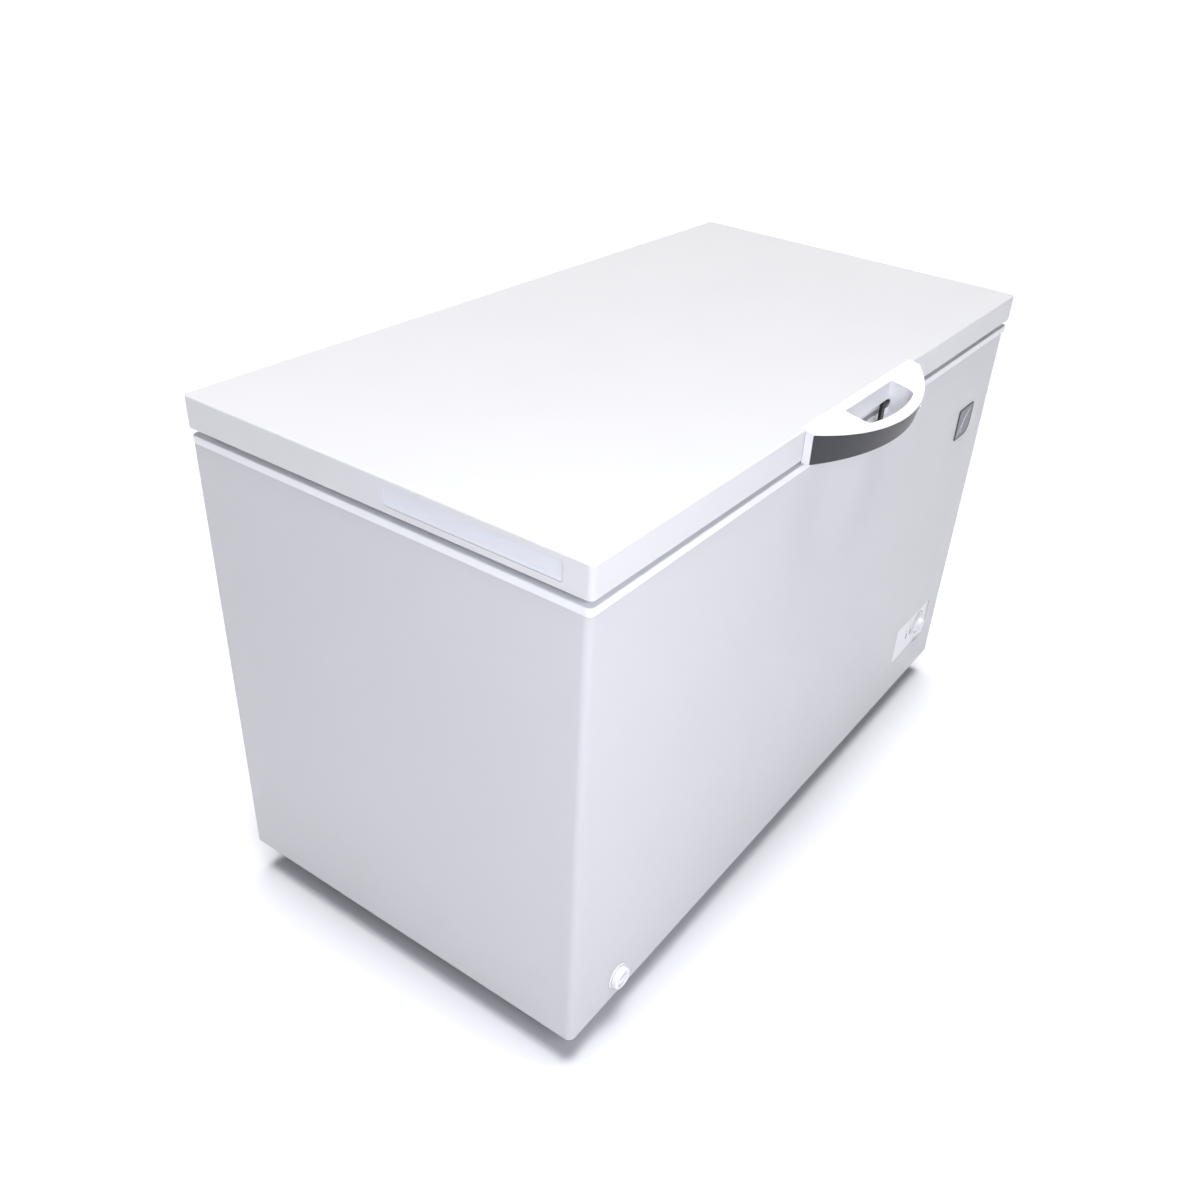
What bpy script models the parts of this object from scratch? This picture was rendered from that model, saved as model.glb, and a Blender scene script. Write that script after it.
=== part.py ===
"""Chest freezer with a hinged foam lid: cabinet, cold chamber, machine compartment and casters.

Metres, +Z up, front towards -Y. The origin is on the floor under the middle of the
whole outline. One object is made for each physical piece.
"""

from math import asin, cos, pi, radians, sin, tan

import bmesh
import bpy
from mathutils import Matrix, Vector

# ---- driving dimensions -------------------------------------------------------------
WIDTH = 1.290            # across the lid
HEIGHT = 0.845           # floor to the top of the lid
LID_DEPTH = 0.661        # front to back of the lid, without handle and hinges
HANDLE_REACH = 0.0725    # how far the handle stands in front of the lid
HINGE_REACH = 0.024      # how far the hinges stand behind the lid
CASTER_HEIGHT = 0.0575   # floor to the underside of the cabinet
LID_HEIGHT = 0.0457      # visible edge of the lid
GASKET_GAP = 0.0102      # between lid and collar, filled by the gasket
COLLAR_HEIGHT = 0.0121   # visible edge of the plastic collar
COLLAR_INSET = 0.0019    # collar edge behind the lid edge
BODY_INSET = 0.0043      # cabinet faces behind the lid edge
WALL = 0.062             # insulated wall, outside to inside
FLOOR = 0.065            # insulated floor
SHEET = 0.0009           # painted steel sheet
LINING = 0.0008          # inner sheet of the cold chamber
CLEAR = 0.0003           # gap kept between neighbouring pieces

# ---- planes that follow from them ----------------------------------------------------
DEPTH = HANDLE_REACH + LID_DEPTH + HINGE_REACH
LID_X = WIDTH / 2
LID_FRONT = HANDLE_REACH - DEPTH / 2
LID_BACK = LID_FRONT + LID_DEPTH
LID_BOTTOM = HEIGHT - LID_HEIGHT
COLLAR_TOP = LID_BOTTOM - GASKET_GAP
BODY_TOP = COLLAR_TOP - COLLAR_HEIGHT
BODY_BOTTOM = CASTER_HEIGHT
BODY_X = LID_X - BODY_INSET
BODY_FRONT = LID_FRONT + BODY_INSET
BODY_BACK = LID_BACK - BODY_INSET
BODY_RADIUS = 0.011
CAVITY_X = BODY_X - WALL
CAVITY_FRONT = BODY_FRONT + WALL
CAVITY_BACK = BODY_BACK - WALL
CAVITY_FLOOR = BODY_BOTTOM + FLOOR
CAVITY_RADIUS = 0.012
ENGINE_X = 0.345                      # left wall of the machine compartment
ENGINE_TOP = BODY_BOTTOM + 0.235      # its ceiling
HUMP_X = ENGINE_X - WALL
HUMP_TOP = ENGINE_TOP + WALL
PAN_SHEET = 0.0010
PAN_RIM = 0.018
PAN_TOP = BODY_BOTTOM + PAN_SHEET
LEDGE_Z = COLLAR_TOP - 0.006          # step in the collar that carries the basket
LEDGE_WIDTH = 0.012

# ---- collections and materials -------------------------------------------------------
for old in list(bpy.data.objects):
    bpy.data.objects.remove(old, do_unlink=True)

PARTS = bpy.data.collections.new("chest_freezer")
CUTTERS = bpy.data.collections.new("cutters")
bpy.context.scene.collection.children.link(PARTS)
bpy.context.scene.collection.children.link(CUTTERS)


def material(name, colour, roughness, metallic=0.0):
    """Principled material with one base colour."""
    made = bpy.data.materials.new(name)
    made.use_nodes = True
    shader = made.node_tree.nodes["Principled BSDF"]
    shader.inputs["Base Color"].default_value = (*colour, 1.0)
    shader.inputs["Roughness"].default_value = roughness
    shader.inputs["Metallic"].default_value = metallic
    made.diffuse_color = (*colour, 1.0)
    return made


WHITE_STEEL = material("white_painted_steel", (0.80, 0.80, 0.83), 0.35)
WHITE_PLASTIC = material("white_plastic", (0.84, 0.84, 0.86), 0.40)
GREY_PLASTIC = material("grey_plastic", (0.45, 0.46, 0.48), 0.50)
CHARCOAL = material("charcoal_plastic", (0.035, 0.037, 0.042), 0.45)
BLACK_PLASTIC = material("black_plastic", (0.012, 0.014, 0.013), 0.45)
GASKET_GREY = material("gasket_grey", (0.22, 0.23, 0.23), 0.70)
FOAM_CREAM = material("foam_cream", (0.72, 0.62, 0.38), 0.90)
LINER_METAL = material("liner_sheet", (0.72, 0.73, 0.74), 0.35, 0.8)
ZINC = material("zinc_plated_steel", (0.55, 0.56, 0.57), 0.35, 1.0)
COPPER = material("copper_tube", (0.70, 0.33, 0.20), 0.30, 1.0)
BLACK_STEEL = material("black_painted_steel", (0.015, 0.015, 0.016), 0.35)
SMOKED_LENS = material("smoked_lens", (0.05, 0.07, 0.06), 0.15)
TYRE = material("grey_tyre", (0.10, 0.10, 0.105), 0.60)


# ---- modelling helpers ---------------------------------------------------------------
def place(name, bm, finish=None):
    """Turn a bmesh into an object: a part when it has a finish, otherwise a cutter."""
    bmesh.ops.recalc_face_normals(bm, faces=bm.faces)
    mesh = bpy.data.meshes.new(name)
    bm.to_mesh(mesh)
    bm.free()
    return link(name, mesh, finish)


def link(name, data, finish):
    """Put mesh or curve data in the scene as a part or as a cutter."""
    made = bpy.data.objects.new(name, data)
    if finish is None:
        made.hide_render = True
        made.display_type = "WIRE"
        CUTTERS.objects.link(made)
    else:
        data.materials.append(finish)
        PARTS.objects.link(made)
    return made


def box(low, high):
    """Bmesh box between two corners."""
    low, high = Vector(low), Vector(high)
    bm = bmesh.new()
    size = Matrix.Diagonal((*(high - low), 1.0))
    bmesh.ops.create_cube(bm, size=1.0, matrix=Matrix.Translation((low + high) / 2) @ size)
    return bm


def boxes(spans):
    """Bmesh of several boxes that do not touch."""
    whole = bmesh.new()
    for low, high in spans:
        piece = box(low, high)
        mesh = bpy.data.meshes.new("span")
        piece.to_mesh(mesh)
        piece.free()
        whole.from_mesh(mesh)
        bpy.data.meshes.remove(mesh)
    return whole


def upright_edges(bm, above=None):
    """Edges that run along Z, or only those that start above a height."""
    found = []
    for edge in bm.edges:
        a, b = edge.verts[0].co, edge.verts[1].co
        level = abs(a.x - b.x) < 1e-6 and abs(a.y - b.y) < 1e-6
        if level and (above is None or max(a.z, b.z) > above):
            found.append(edge)
    return found


def round_edges(bm, edges, radius, segments):
    """Fillet the given edges."""
    bmesh.ops.bevel(bm, geom=edges, offset=radius, offset_type="OFFSET", segments=segments,
                    profile=0.5, affect="EDGES", clamp_overlap=True)
    return bm


def block(low, high, radius, segments=4):
    """Box with its four upright edges rounded."""
    bm = box(low, high)
    return round_edges(bm, upright_edges(bm), radius, segments)


def ring(low, high, width):
    """Rectangular frame of one width between two corners."""
    bm = bmesh.new()
    low, high = Vector(low), Vector(high)
    middle, size = (low + high) / 2, high - low
    flat = Matrix.Translation((middle.x, middle.y, low.z)) @ Matrix.Diagonal((size.x, size.y, 1.0, 1.0))
    bmesh.ops.create_grid(bm, x_segments=1, y_segments=1, size=0.5, matrix=flat)
    centre = bm.faces[:]
    bmesh.ops.inset_region(bm, faces=centre, thickness=width, use_even_offset=True, use_boundary=True)
    bmesh.ops.delete(bm, geom=centre, context="FACES")
    return raise_faces(bm, Vector((0.0, 0.0, size.z)))


def raise_faces(bm, step):
    """Extrude every face of a flat bmesh along one vector into a closed solid."""
    made = bmesh.ops.extrude_face_region(bm, geom=bm.faces[:], use_keep_orig=True)
    top = [item for item in made["geom"] if isinstance(item, bmesh.types.BMVert)]
    bmesh.ops.translate(bm, verts=top, vec=step)
    return bm


def prism(points, axis, start, end):
    """Flat outline pushed along X, Y or Z. Points give the two other coordinates in order."""
    at = {"X": lambda u, v: (start, u, v), "Y": lambda u, v: (u, start, v), "Z": lambda u, v: (u, v, start)}
    step = {"X": (end - start, 0, 0), "Y": (0, end - start, 0), "Z": (0, 0, end - start)}
    bm = bmesh.new()
    bm.faces.new([bm.verts.new(at[axis](u, v)) for u, v in points])
    return raise_faces(bm, Vector(step[axis]))


def loft(loops):
    """Closed solid through loops of points that have the same count."""
    bm = bmesh.new()
    rows = [[bm.verts.new(point) for point in loop] for loop in loops]
    for lower, upper in zip(rows, rows[1:]):
        for i, corner in enumerate(lower):
            after = (i + 1) % len(lower)
            bm.faces.new((corner, lower[after], upper[after], upper[i]))
    bm.faces.new(rows[0])
    bm.faces.new(rows[-1])
    return bm


AXIS_TURN = {"X": Matrix.Rotation(pi / 2, 4, "Y"), "Y": Matrix.Rotation(pi / 2, 4, "X"), "Z": Matrix()}


def rod(start, length, radius, axis, sides=24):
    """Bmesh cylinder from a start point along +X, -Y or +Z."""
    turn = AXIS_TURN[axis]
    shift = Matrix.Translation(Vector(start) + turn @ Vector((0, 0, length / 2)))
    bm = bmesh.new()
    bmesh.ops.create_cone(bm, cap_ends=True, segments=sides, radius1=radius, radius2=radius,
                          depth=length, matrix=shift @ turn)
    return bm


def turned(name, profile, origin, axis, finish, steps=24, closed=False):
    """Solid turned about an axis. The profile is (radius, height) from the top down its outside."""
    mesh = bpy.data.meshes.new(name)
    edges = [(i, i + 1) for i in range(len(profile) - 1)]
    if closed:
        edges.append((len(profile) - 1, 0))
    mesh.from_pydata([(radius, 0.0, height) for radius, height in profile], edges, [])
    made = link(name, mesh, finish)
    made.matrix_world = Matrix.Translation(origin) @ AXIS_TURN[axis]
    screw = made.modifiers.new("turn", "SCREW")
    screw.axis = "Z"
    screw.angle = 2 * pi
    screw.steps = steps
    screw.render_steps = steps
    screw.use_merge_vertices = True
    screw.merge_threshold = 0.00005
    return made


def tube(name, points, radius, finish, sides=2):
    """Round wire or pipe through the given points."""
    data = bpy.data.curves.new(name, "CURVE")
    data.dimensions = "3D"
    data.bevel_depth = radius
    data.bevel_resolution = sides
    data.use_fill_caps = True
    line = data.splines.new("POLY")
    line.points.add(len(points) - 1)
    for spot, point in zip(line.points, points):
        spot.co = (*point, 1.0)
    return link(name, data, finish)


def cut(part, cutter):
    """Take the cutter away from the part."""
    return combine(part, cutter, "DIFFERENCE")


def weld(part, other):
    """Join another shape to the part as one body."""
    return combine(part, other, "UNION")


def combine(part, other, operation):
    """Boolean of two objects, kept as a modifier."""
    boolean = part.modifiers.new(operation.lower(), "BOOLEAN")
    boolean.operation = operation
    boolean.solver = "EXACT"
    boolean.object = other
    return part


def thicken(part, thickness, offset):
    """Give an open sheet its thickness."""
    sheet = part.modifiers.new("sheet", "SOLIDIFY")
    sheet.thickness = thickness
    sheet.offset = offset
    sheet.use_even_offset = True
    return part


def arc(centre, radius, first, last, count):
    """Points on a circle between two angles in degrees."""
    steps = [radians(first + (last - first) * i / (count - 1)) for i in range(count)]
    return [(centre[0] + radius * cos(a), centre[1] + radius * sin(a)) for a in steps]


def ride(child, holder):
    """Parent a piece to the empty on its joint axis without moving it."""
    child.parent = holder
    child.matrix_parent_inverse = holder.matrix_world.inverted()
    return child


def joint_empty(name, spot):
    """Empty on a joint axis."""
    holder = bpy.data.objects.new(name, None)
    holder.empty_display_size = 0.05
    holder.matrix_world = Matrix.Translation(spot)
    PARTS.objects.link(holder)
    return holder


# ---- cabinet -------------------------------------------------------------------------
PANEL_X = (0.4195, 0.5775)
PANEL_Z = (BODY_BOTTOM + 0.076, BODY_BOTTOM + 0.157)
DRAIN_X = -0.532
DRAIN_Z = BODY_BOTTOM + 0.040
DRAIN_Y = CAVITY_FRONT + 0.045
DRAIN_RADIUS = 0.011
DRAIN_BORE = 0.009
VENT_Y = (0.060, 0.300)
VENT_Z = (BODY_BOTTOM + 0.045, BODY_BOTTOM + 0.205)
REAR_X = (ENGINE_X + 0.020, BODY_X - 0.020)
REAR_Z = (BODY_BOTTOM + 0.025, ENGINE_TOP - 0.015)
FLANGE = 0.015
PANEL_BACK = BODY_BACK + CLEAR + SHEET     # outer face of the back panel


def outer_wrapper():
    """Painted sheet folded round the left side, front and right side, with rear flanges."""
    corner = 6
    left = arc((-BODY_X + BODY_RADIUS, BODY_FRONT + BODY_RADIUS), BODY_RADIUS, 180, 270, corner)
    right = arc((BODY_X - BODY_RADIUS, BODY_FRONT + BODY_RADIUS), BODY_RADIUS, 270, 360, corner)
    path = [(-BODY_X + FLANGE, BODY_BACK), (-BODY_X, BODY_BACK), *left, *right]
    path += [(BODY_X, BODY_BACK), (BODY_X - FLANGE, BODY_BACK)]
    mesh = bpy.data.meshes.new("outer_wrapper")
    count = len(path)
    spots = [(x, y, BODY_BOTTOM) for x, y in path] + [(x, y, BODY_TOP) for x, y in path]
    faces = [(i, i + 1, i + 1 + count, i + count) for i in range(count - 1)]
    mesh.from_pydata(spots, [], faces)
    wrapper = thicken(link("outer_wrapper", mesh, WHITE_STEEL), SHEET, -1.0)
    reach = 0.01
    front = (BODY_FRONT - reach, BODY_FRONT + reach)
    panel = box((PANEL_X[0], front[0], PANEL_Z[0]), (PANEL_X[1], front[1], PANEL_Z[1]))
    cut(wrapper, place("cut_wrapper_panel", panel))
    vent = box((BODY_X - reach, VENT_Y[0], VENT_Z[0]), (BODY_X + reach, VENT_Y[1], VENT_Z[1]))
    cut(wrapper, place("cut_wrapper_vent", vent))
    drain = rod((DRAIN_X, front[1], DRAIN_Z), 2 * reach, DRAIN_BORE + 0.0005, "Y")
    cut(wrapper, place("cut_wrapper_drain", drain))


def back_panel():
    """Sheet that closes the back, open at the machine compartment."""
    margin = 0.004
    low = (-BODY_X + margin, BODY_BACK + CLEAR, BODY_BOTTOM + 0.001)
    high = (BODY_X - margin, PANEL_BACK, BODY_TOP - 0.001)
    panel = place("back_panel", box(low, high), ZINC)
    window = box((REAR_X[0], BODY_BACK - 0.01, REAR_Z[0]), (REAR_X[1], BODY_BACK + 0.01, REAR_Z[1]))
    cut(panel, place("cut_back_window", window))


def base_pan():
    """Tray under the foam with a turned-up rim and air slots below the compressor."""
    side = BODY_X - SHEET - CLEAR
    front = BODY_FRONT + SHEET + CLEAR
    back = BODY_BACK - SHEET - CLEAR
    pan = box((-side, front, BODY_BOTTOM), (side, back, BODY_BOTTOM + PAN_RIM))
    round_edges(pan, upright_edges(pan), BODY_RADIUS - SHEET, 4)
    top = [face for face in pan.faces if face.normal.z > 0.9]
    bmesh.ops.delete(pan, geom=top, context="FACES_ONLY")
    tray = thicken(place("base_pan", pan, ZINC), PAN_SHEET, -1.0)
    slots = []
    for i in range(6):
        x = ENGINE_X + 0.060 + 0.032 * i
        slots.append(((x, -0.18, BODY_BOTTOM - 0.01), (x + 0.010, -0.04, BODY_BOTTOM + 0.01)))
    cut(tray, place("cut_pan_slots", boxes(slots)))


def cavity_block(grow, top):
    """Stepped cold chamber as a solid, grown outwards by one amount."""
    outline = [(-CAVITY_X - grow, CAVITY_FLOOR - grow), (HUMP_X + grow, CAVITY_FLOOR - grow),
               (HUMP_X + grow, HUMP_TOP - grow), (CAVITY_X + grow, HUMP_TOP - grow),
               (CAVITY_X + grow, top), (-CAVITY_X - grow, top)]
    bm = prism(outline, "Y", CAVITY_FRONT - grow, CAVITY_BACK + grow)
    corners = upright_edges(bm, HUMP_TOP + 0.01)
    return round_edges(bm, corners, CAVITY_RADIUS + grow, 3)


def inner_liner():
    """Sheet-metal wall of the cold chamber, cut away below the compressor step."""
    low = (-CAVITY_X, CAVITY_FRONT, CAVITY_FLOOR - LINING)
    high = (CAVITY_X, CAVITY_BACK, BODY_TOP - CLEAR)
    bm = block(low, high, CAVITY_RADIUS, 3)
    bm.normal_update()
    ends = [face for face in bm.faces if abs(face.normal.z) > 0.9]
    bmesh.ops.delete(bm, geom=ends, context="FACES_ONLY")
    liner = thicken(place("inner_liner", bm, LINER_METAL), LINING, 1.0)
    reach = 0.01
    step_low = (HUMP_X + LINING, CAVITY_FRONT - reach, CAVITY_FLOOR - reach)
    step_high = (CAVITY_X + reach, CAVITY_BACK + reach, HUMP_TOP - LINING)
    cut(liner, place("cut_liner_step", box(step_low, step_high)))


def liner_floor():
    """Floor of the cold chamber, stepped up over the compressor, with the drain hole."""
    bottom, top = CAVITY_FLOOR - LINING, HUMP_TOP - LINING
    outline = [(-CAVITY_X, bottom), (HUMP_X + LINING, bottom), (HUMP_X + LINING, top), (CAVITY_X, top)]
    outline += [(CAVITY_X, HUMP_TOP), (HUMP_X, HUMP_TOP), (HUMP_X, CAVITY_FLOOR), (-CAVITY_X, CAVITY_FLOOR)]
    floor = place("liner_floor", prism(outline, "Y", CAVITY_FRONT, CAVITY_BACK), LINER_METAL)
    low = (-CAVITY_X + CLEAR, CAVITY_FRONT + CLEAR, bottom - CLEAR)
    high = (CAVITY_X - CLEAR, CAVITY_BACK - CLEAR, HUMP_TOP + CLEAR)
    inside = place("keep_liner_floor", block(low, high, CAVITY_RADIUS - CLEAR, 3))
    combine(floor, inside, "INTERSECT")
    hole = rod((DRAIN_X, DRAIN_Y, CAVITY_FLOOR - 0.01), 0.02, DRAIN_BORE, "Z")
    cut(floor, place("cut_liner_drain", hole))


EVAPORATOR_LEVELS = [0.420 + 0.096 * i for i in range(4)]
CONDENSER_LEVELS = [0.350 + 0.110 * i for i in range(4)]
PIPE = 0.004
GROOVE = 0.0105
RISER_X = 0.200
RISER_STEP = 0.030
CONDENSER_BACK = BODY_BACK - 0.045
FOAM_X = BODY_X - SHEET - CLEAR
FOAM_FRONT = BODY_FRONT + SHEET + CLEAR
FOAM_BACK = BODY_BACK - SHEET - CLEAR


def body_foam():
    """Foam block between wrapper and liner, with the grooves that hold the tubes."""
    low = (-FOAM_X, FOAM_FRONT, PAN_TOP + CLEAR)
    high = (FOAM_X, FOAM_BACK, BODY_TOP - CLEAR)
    foam = place("body_foam", block(low, high, BODY_RADIUS - SHEET), FOAM_CREAM)
    reach = 0.02
    cut(foam, place("cut_foam_cavity", cavity_block(LINING + CLEAR, BODY_TOP + reach)))
    engine_low = (ENGINE_X - LINING - CLEAR, FOAM_FRONT - reach, PAN_TOP - reach)
    engine_high = (FOAM_X + reach, FOAM_BACK + reach, ENGINE_TOP + LINING + CLEAR)
    cut(foam, place("cut_foam_engine", box(engine_low, engine_high)))
    rim_low = (-FOAM_X - reach, FOAM_FRONT - reach, PAN_TOP - reach)
    rim_high = (FOAM_X + reach, FOAM_BACK + reach, BODY_BOTTOM + PAN_RIM + CLEAR)
    rim = place("cut_foam_rim", box(rim_low, rim_high))
    inset = PAN_SHEET + 2 * CLEAR
    core_low = (-FOAM_X + inset, FOAM_FRONT + inset, PAN_TOP - 2 * reach)
    core_high = (FOAM_X - inset, FOAM_BACK - inset, BODY_BOTTOM + PAN_RIM + reach)
    cut(rim, place("cut_foam_rim_core", block(core_low, core_high, BODY_RADIUS - SHEET - inset)))
    cut(foam, rim)
    for i, z in enumerate(CONDENSER_LEVELS):
        low = (-FOAM_X - reach, FOAM_FRONT - reach, z - GROOVE / 2)
        high = (FOAM_X + reach, FOAM_BACK + reach, z + GROOVE / 2)
        cut(foam, place(f"cut_foam_condenser_{i}", ring(low, high, reach + GROOVE)))
    skin = CAVITY_X + LINING + CLEAR
    front, back = CAVITY_FRONT - LINING - CLEAR, CAVITY_BACK + LINING + CLEAR
    for i, z in enumerate(EVAPORATOR_LEVELS):
        low = (-skin - GROOVE, front - GROOVE, z - GROOVE / 2)
        high = (skin + GROOVE, back + GROOVE, z + GROOVE / 2)
        cut(foam, place(f"cut_foam_evaporator_{i}", ring(low, high, GROOVE + 0.025)))
    bottom, top = EVAPORATOR_LEVELS[0], EVAPORATOR_LEVELS[-1]
    last = RISER_X + RISER_STEP * len(EVAPORATOR_LEVELS)
    riser = box((RISER_X - 0.02, back - 0.005, bottom), (last, back + GROOVE, top))
    cut(foam, place("cut_foam_riser", riser))
    bottom, top = CONDENSER_LEVELS[0], CONDENSER_LEVELS[-1]
    y = (CONDENSER_BACK - GROOVE / 2, CONDENSER_BACK + GROOVE / 2)
    sides = [((s * FOAM_X - GROOVE, y[0], bottom), (s * FOAM_X + GROOVE, y[1], top)) for s in (-1, 1)]
    cut(foam, place("cut_foam_side_risers", boxes(sides)))
    drop = rod((DRAIN_X, DRAIN_Y, DRAIN_Z), CAVITY_FLOOR - DRAIN_Z, DRAIN_RADIUS + CLEAR, "Z", 16)
    cut(foam, place("cut_foam_drain_drop", drop))
    length = DRAIN_Y + DRAIN_RADIUS + CLEAR - FOAM_FRONT + reach
    run = rod((DRAIN_X, DRAIN_Y + DRAIN_RADIUS + CLEAR, DRAIN_Z), length, DRAIN_RADIUS + CLEAR, "Y", 16)
    cut(foam, place("cut_foam_drain_run", run))


def evaporator_tube():
    """Cooling tube wound round the liner in level turns that step up at the back."""
    gap = LINING + CLEAR + PIPE
    x, front, back = CAVITY_X + gap, CAVITY_FRONT - gap, CAVITY_BACK + gap
    bend = CAVITY_RADIUS
    around = arc((-x + bend, back - bend), bend, 90, 180, 3) + arc((-x + bend, front + bend), bend, 180, 270, 3)
    around += arc((x - bend, front + bend), bend, 270, 360, 3) + arc((x - bend, back - bend), bend, 0, 90, 3)
    points = [(RISER_X - 0.01, back, EVAPORATOR_LEVELS[0])]
    for i, z in enumerate(EVAPORATOR_LEVELS):
        points += [(px, py, z) for px, py in around]
        end = RISER_X + RISER_STEP * (i + 0.5)
        points.append((end, back, z))
        if z != EVAPORATOR_LEVELS[-1]:
            points.append((end - 0.004, back, z + 0.006))
            points.append((end - 0.004, back, EVAPORATOR_LEVELS[i + 1] - 0.006))
            points.append((end - 0.012, back, EVAPORATOR_LEVELS[i + 1]))
    tube("evaporator_tube", points, PIPE, COPPER, 1)


def condenser_tube():
    """Warm-wall tube laid against the inside of the wrapper, up in a zigzag of level runs."""
    gap = SHEET + 2 * CLEAR + PIPE
    x, front = BODY_X - gap, BODY_FRONT + gap
    bend = 0.008
    run = [(x, CONDENSER_BACK)] + arc((x - bend, front + bend), bend, 0, -90, 3)
    run += arc((-x + bend, front + bend), bend, 270, 180, 3) + [(-x, CONDENSER_BACK)]
    points = []
    for i, z in enumerate(CONDENSER_LEVELS):
        row = run if i % 2 == 0 else run[::-1]
        points += [(px, py, z) for px, py in row]
    tube("condenser_tube", points, PIPE, COPPER, 1)


def top_collar():
    """Moulded plastic frame on the cabinet rim, with a basket ledge and a lip into the liner."""
    side = LID_X - COLLAR_INSET
    low = (-side, LID_FRONT + COLLAR_INSET, BODY_TOP + CLEAR)
    high = (side, LID_BACK - COLLAR_INSET, COLLAR_TOP)
    collar = place("top_collar", block(low, high, 0.008), WHITE_PLASTIC)
    lip = 0.0025
    drop = 0.014
    skirt_low = (-CAVITY_X + CLEAR, CAVITY_FRONT + CLEAR, BODY_TOP - drop)
    skirt_high = (CAVITY_X - CLEAR, CAVITY_BACK - CLEAR, COLLAR_TOP - 0.004)
    bend = CAVITY_RADIUS + 0.006
    weld(collar, place("weld_collar_lip", block(skirt_low, skirt_high, bend)))
    opening_low = (-CAVITY_X + lip, CAVITY_FRONT + lip, BODY_TOP - 0.05)
    opening_high = (CAVITY_X - lip, CAVITY_BACK - lip, COLLAR_TOP + 0.05)
    cut(collar, place("cut_collar_opening", block(opening_low, opening_high, bend - lip)))
    step_low = (-CAVITY_X - LEDGE_WIDTH, CAVITY_FRONT - LEDGE_WIDTH, LEDGE_Z)
    step_high = (CAVITY_X + LEDGE_WIDTH, CAVITY_BACK + LEDGE_WIDTH, COLLAR_TOP + 0.01)
    cut(collar, place("cut_collar_ledge", block(step_low, step_high, CAVITY_RADIUS + LEDGE_WIDTH)))


def compartment_shell():
    """Bent sheet that parts the machine compartment from the foam."""
    front, back = FOAM_FRONT + PAN_SHEET + CLEAR, FOAM_BACK - PAN_SHEET - CLEAR
    floor = PAN_TOP + CLEAR
    end = FOAM_X - BODY_RADIUS
    path = [(ENGINE_X, floor), (ENGINE_X, ENGINE_TOP), (end, ENGINE_TOP)]
    path += [(end, ENGINE_TOP + LINING), (ENGINE_X - LINING, ENGINE_TOP + LINING)]
    path.append((ENGINE_X - LINING, floor))
    place("compartment_shell", prism(path, "Y", front, back), ZINC)


def grille(name, low, high, slots, finish):
    """Flat cover with level louvre slots."""
    cover = place(name, box(low, high), finish)
    return cut(cover, place("cut_" + name, boxes(slots)))


def compressor_cover():
    """Louvred cover over the back of the machine compartment."""
    lap = 0.012
    front = PANEL_BACK + CLEAR
    low = (REAR_X[0] - lap, front, REAR_Z[0] - lap)
    high = (REAR_X[1] + lap, front + 0.0018, REAR_Z[1] + lap)
    slots = []
    for i in range(8):
        z = REAR_Z[0] + 0.016 + 0.021 * i
        slots.append(((REAR_X[0] + 0.02, front - 0.01, z), (REAR_X[1] - 0.02, front + 0.01, z + 0.008)))
    grille("compressor_cover", low, high, slots, BLACK_STEEL)


def side_vent_grille():
    """Plastic louvre panel in the right side of the machine compartment."""
    low = (BODY_X - SHEET, VENT_Y[0] + CLEAR, VENT_Z[0] + CLEAR)
    high = (BODY_X + 0.0012, VENT_Y[1] - CLEAR, VENT_Z[1] - CLEAR)
    slots = []
    for i in range(8):
        z = VENT_Z[0] + 0.014 + 0.0175 * i
        slots.append(((BODY_X - 0.01, VENT_Y[0] + 0.016, z), (BODY_X + 0.01, VENT_Y[1] - 0.016, z + 0.007)))
    grille("side_vent_grille", low, high, slots, WHITE_PLASTIC)


# ---- machine compartment -------------------------------------------------------------
COMPRESSOR_SPOT = (0.490, 0.200)
PLATE_Z = PAN_TOP + 0.012
CAN_RADIUS = 0.078
CAN_HEIGHT = 0.165


def compressor():
    """Hermetic can: lower bowl, weld flange and domed cap."""
    bottom = PLATE_Z + 0.006
    seam = 0.085
    flange = CAN_RADIUS + 0.005
    profile = [(0.0, CAN_HEIGHT), (0.030, CAN_HEIGHT - 0.003), (0.055, CAN_HEIGHT - 0.014)]
    profile += [(CAN_RADIUS - 0.006, CAN_HEIGHT - 0.034), (CAN_RADIUS - 0.001, seam + 0.004)]
    profile += [(flange, seam + 0.004), (flange, seam), (CAN_RADIUS, seam), (CAN_RADIUS, 0.022)]
    profile += [(CAN_RADIUS - 0.010, 0.006), (CAN_RADIUS - 0.026, 0.0), (0.0, 0.0)]
    turned("compressor", profile, (*COMPRESSOR_SPOT, bottom), "Z", BLACK_STEEL, 28)


def compressor_mount_plate():
    """Pressed rail that carries the compressor feet above the pan."""
    x, y = COMPRESSOR_SPOT
    half_x, half_y = 0.115, 0.075
    outline = [(x - half_x, PAN_TOP + CLEAR), (x - half_x + 0.016, PAN_TOP + CLEAR)]
    outline += [(x - half_x + 0.016, PLATE_Z), (x + half_x - 0.016, PLATE_Z)]
    outline += [(x + half_x - 0.016, PAN_TOP + CLEAR), (x + half_x, PAN_TOP + CLEAR)]
    outline += [(x + half_x, PAN_TOP + 0.002), (x + half_x - 0.014, PAN_TOP + 0.002)]
    outline += [(x + half_x - 0.014, PLATE_Z + 0.002), (x - half_x + 0.014, PLATE_Z + 0.002)]
    outline += [(x - half_x + 0.014, PAN_TOP + 0.002), (x - half_x, PAN_TOP + 0.002)]
    place("compressor_mount_plate", prism(outline, "Y", y - half_y, y + half_y), BLACK_STEEL)


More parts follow.
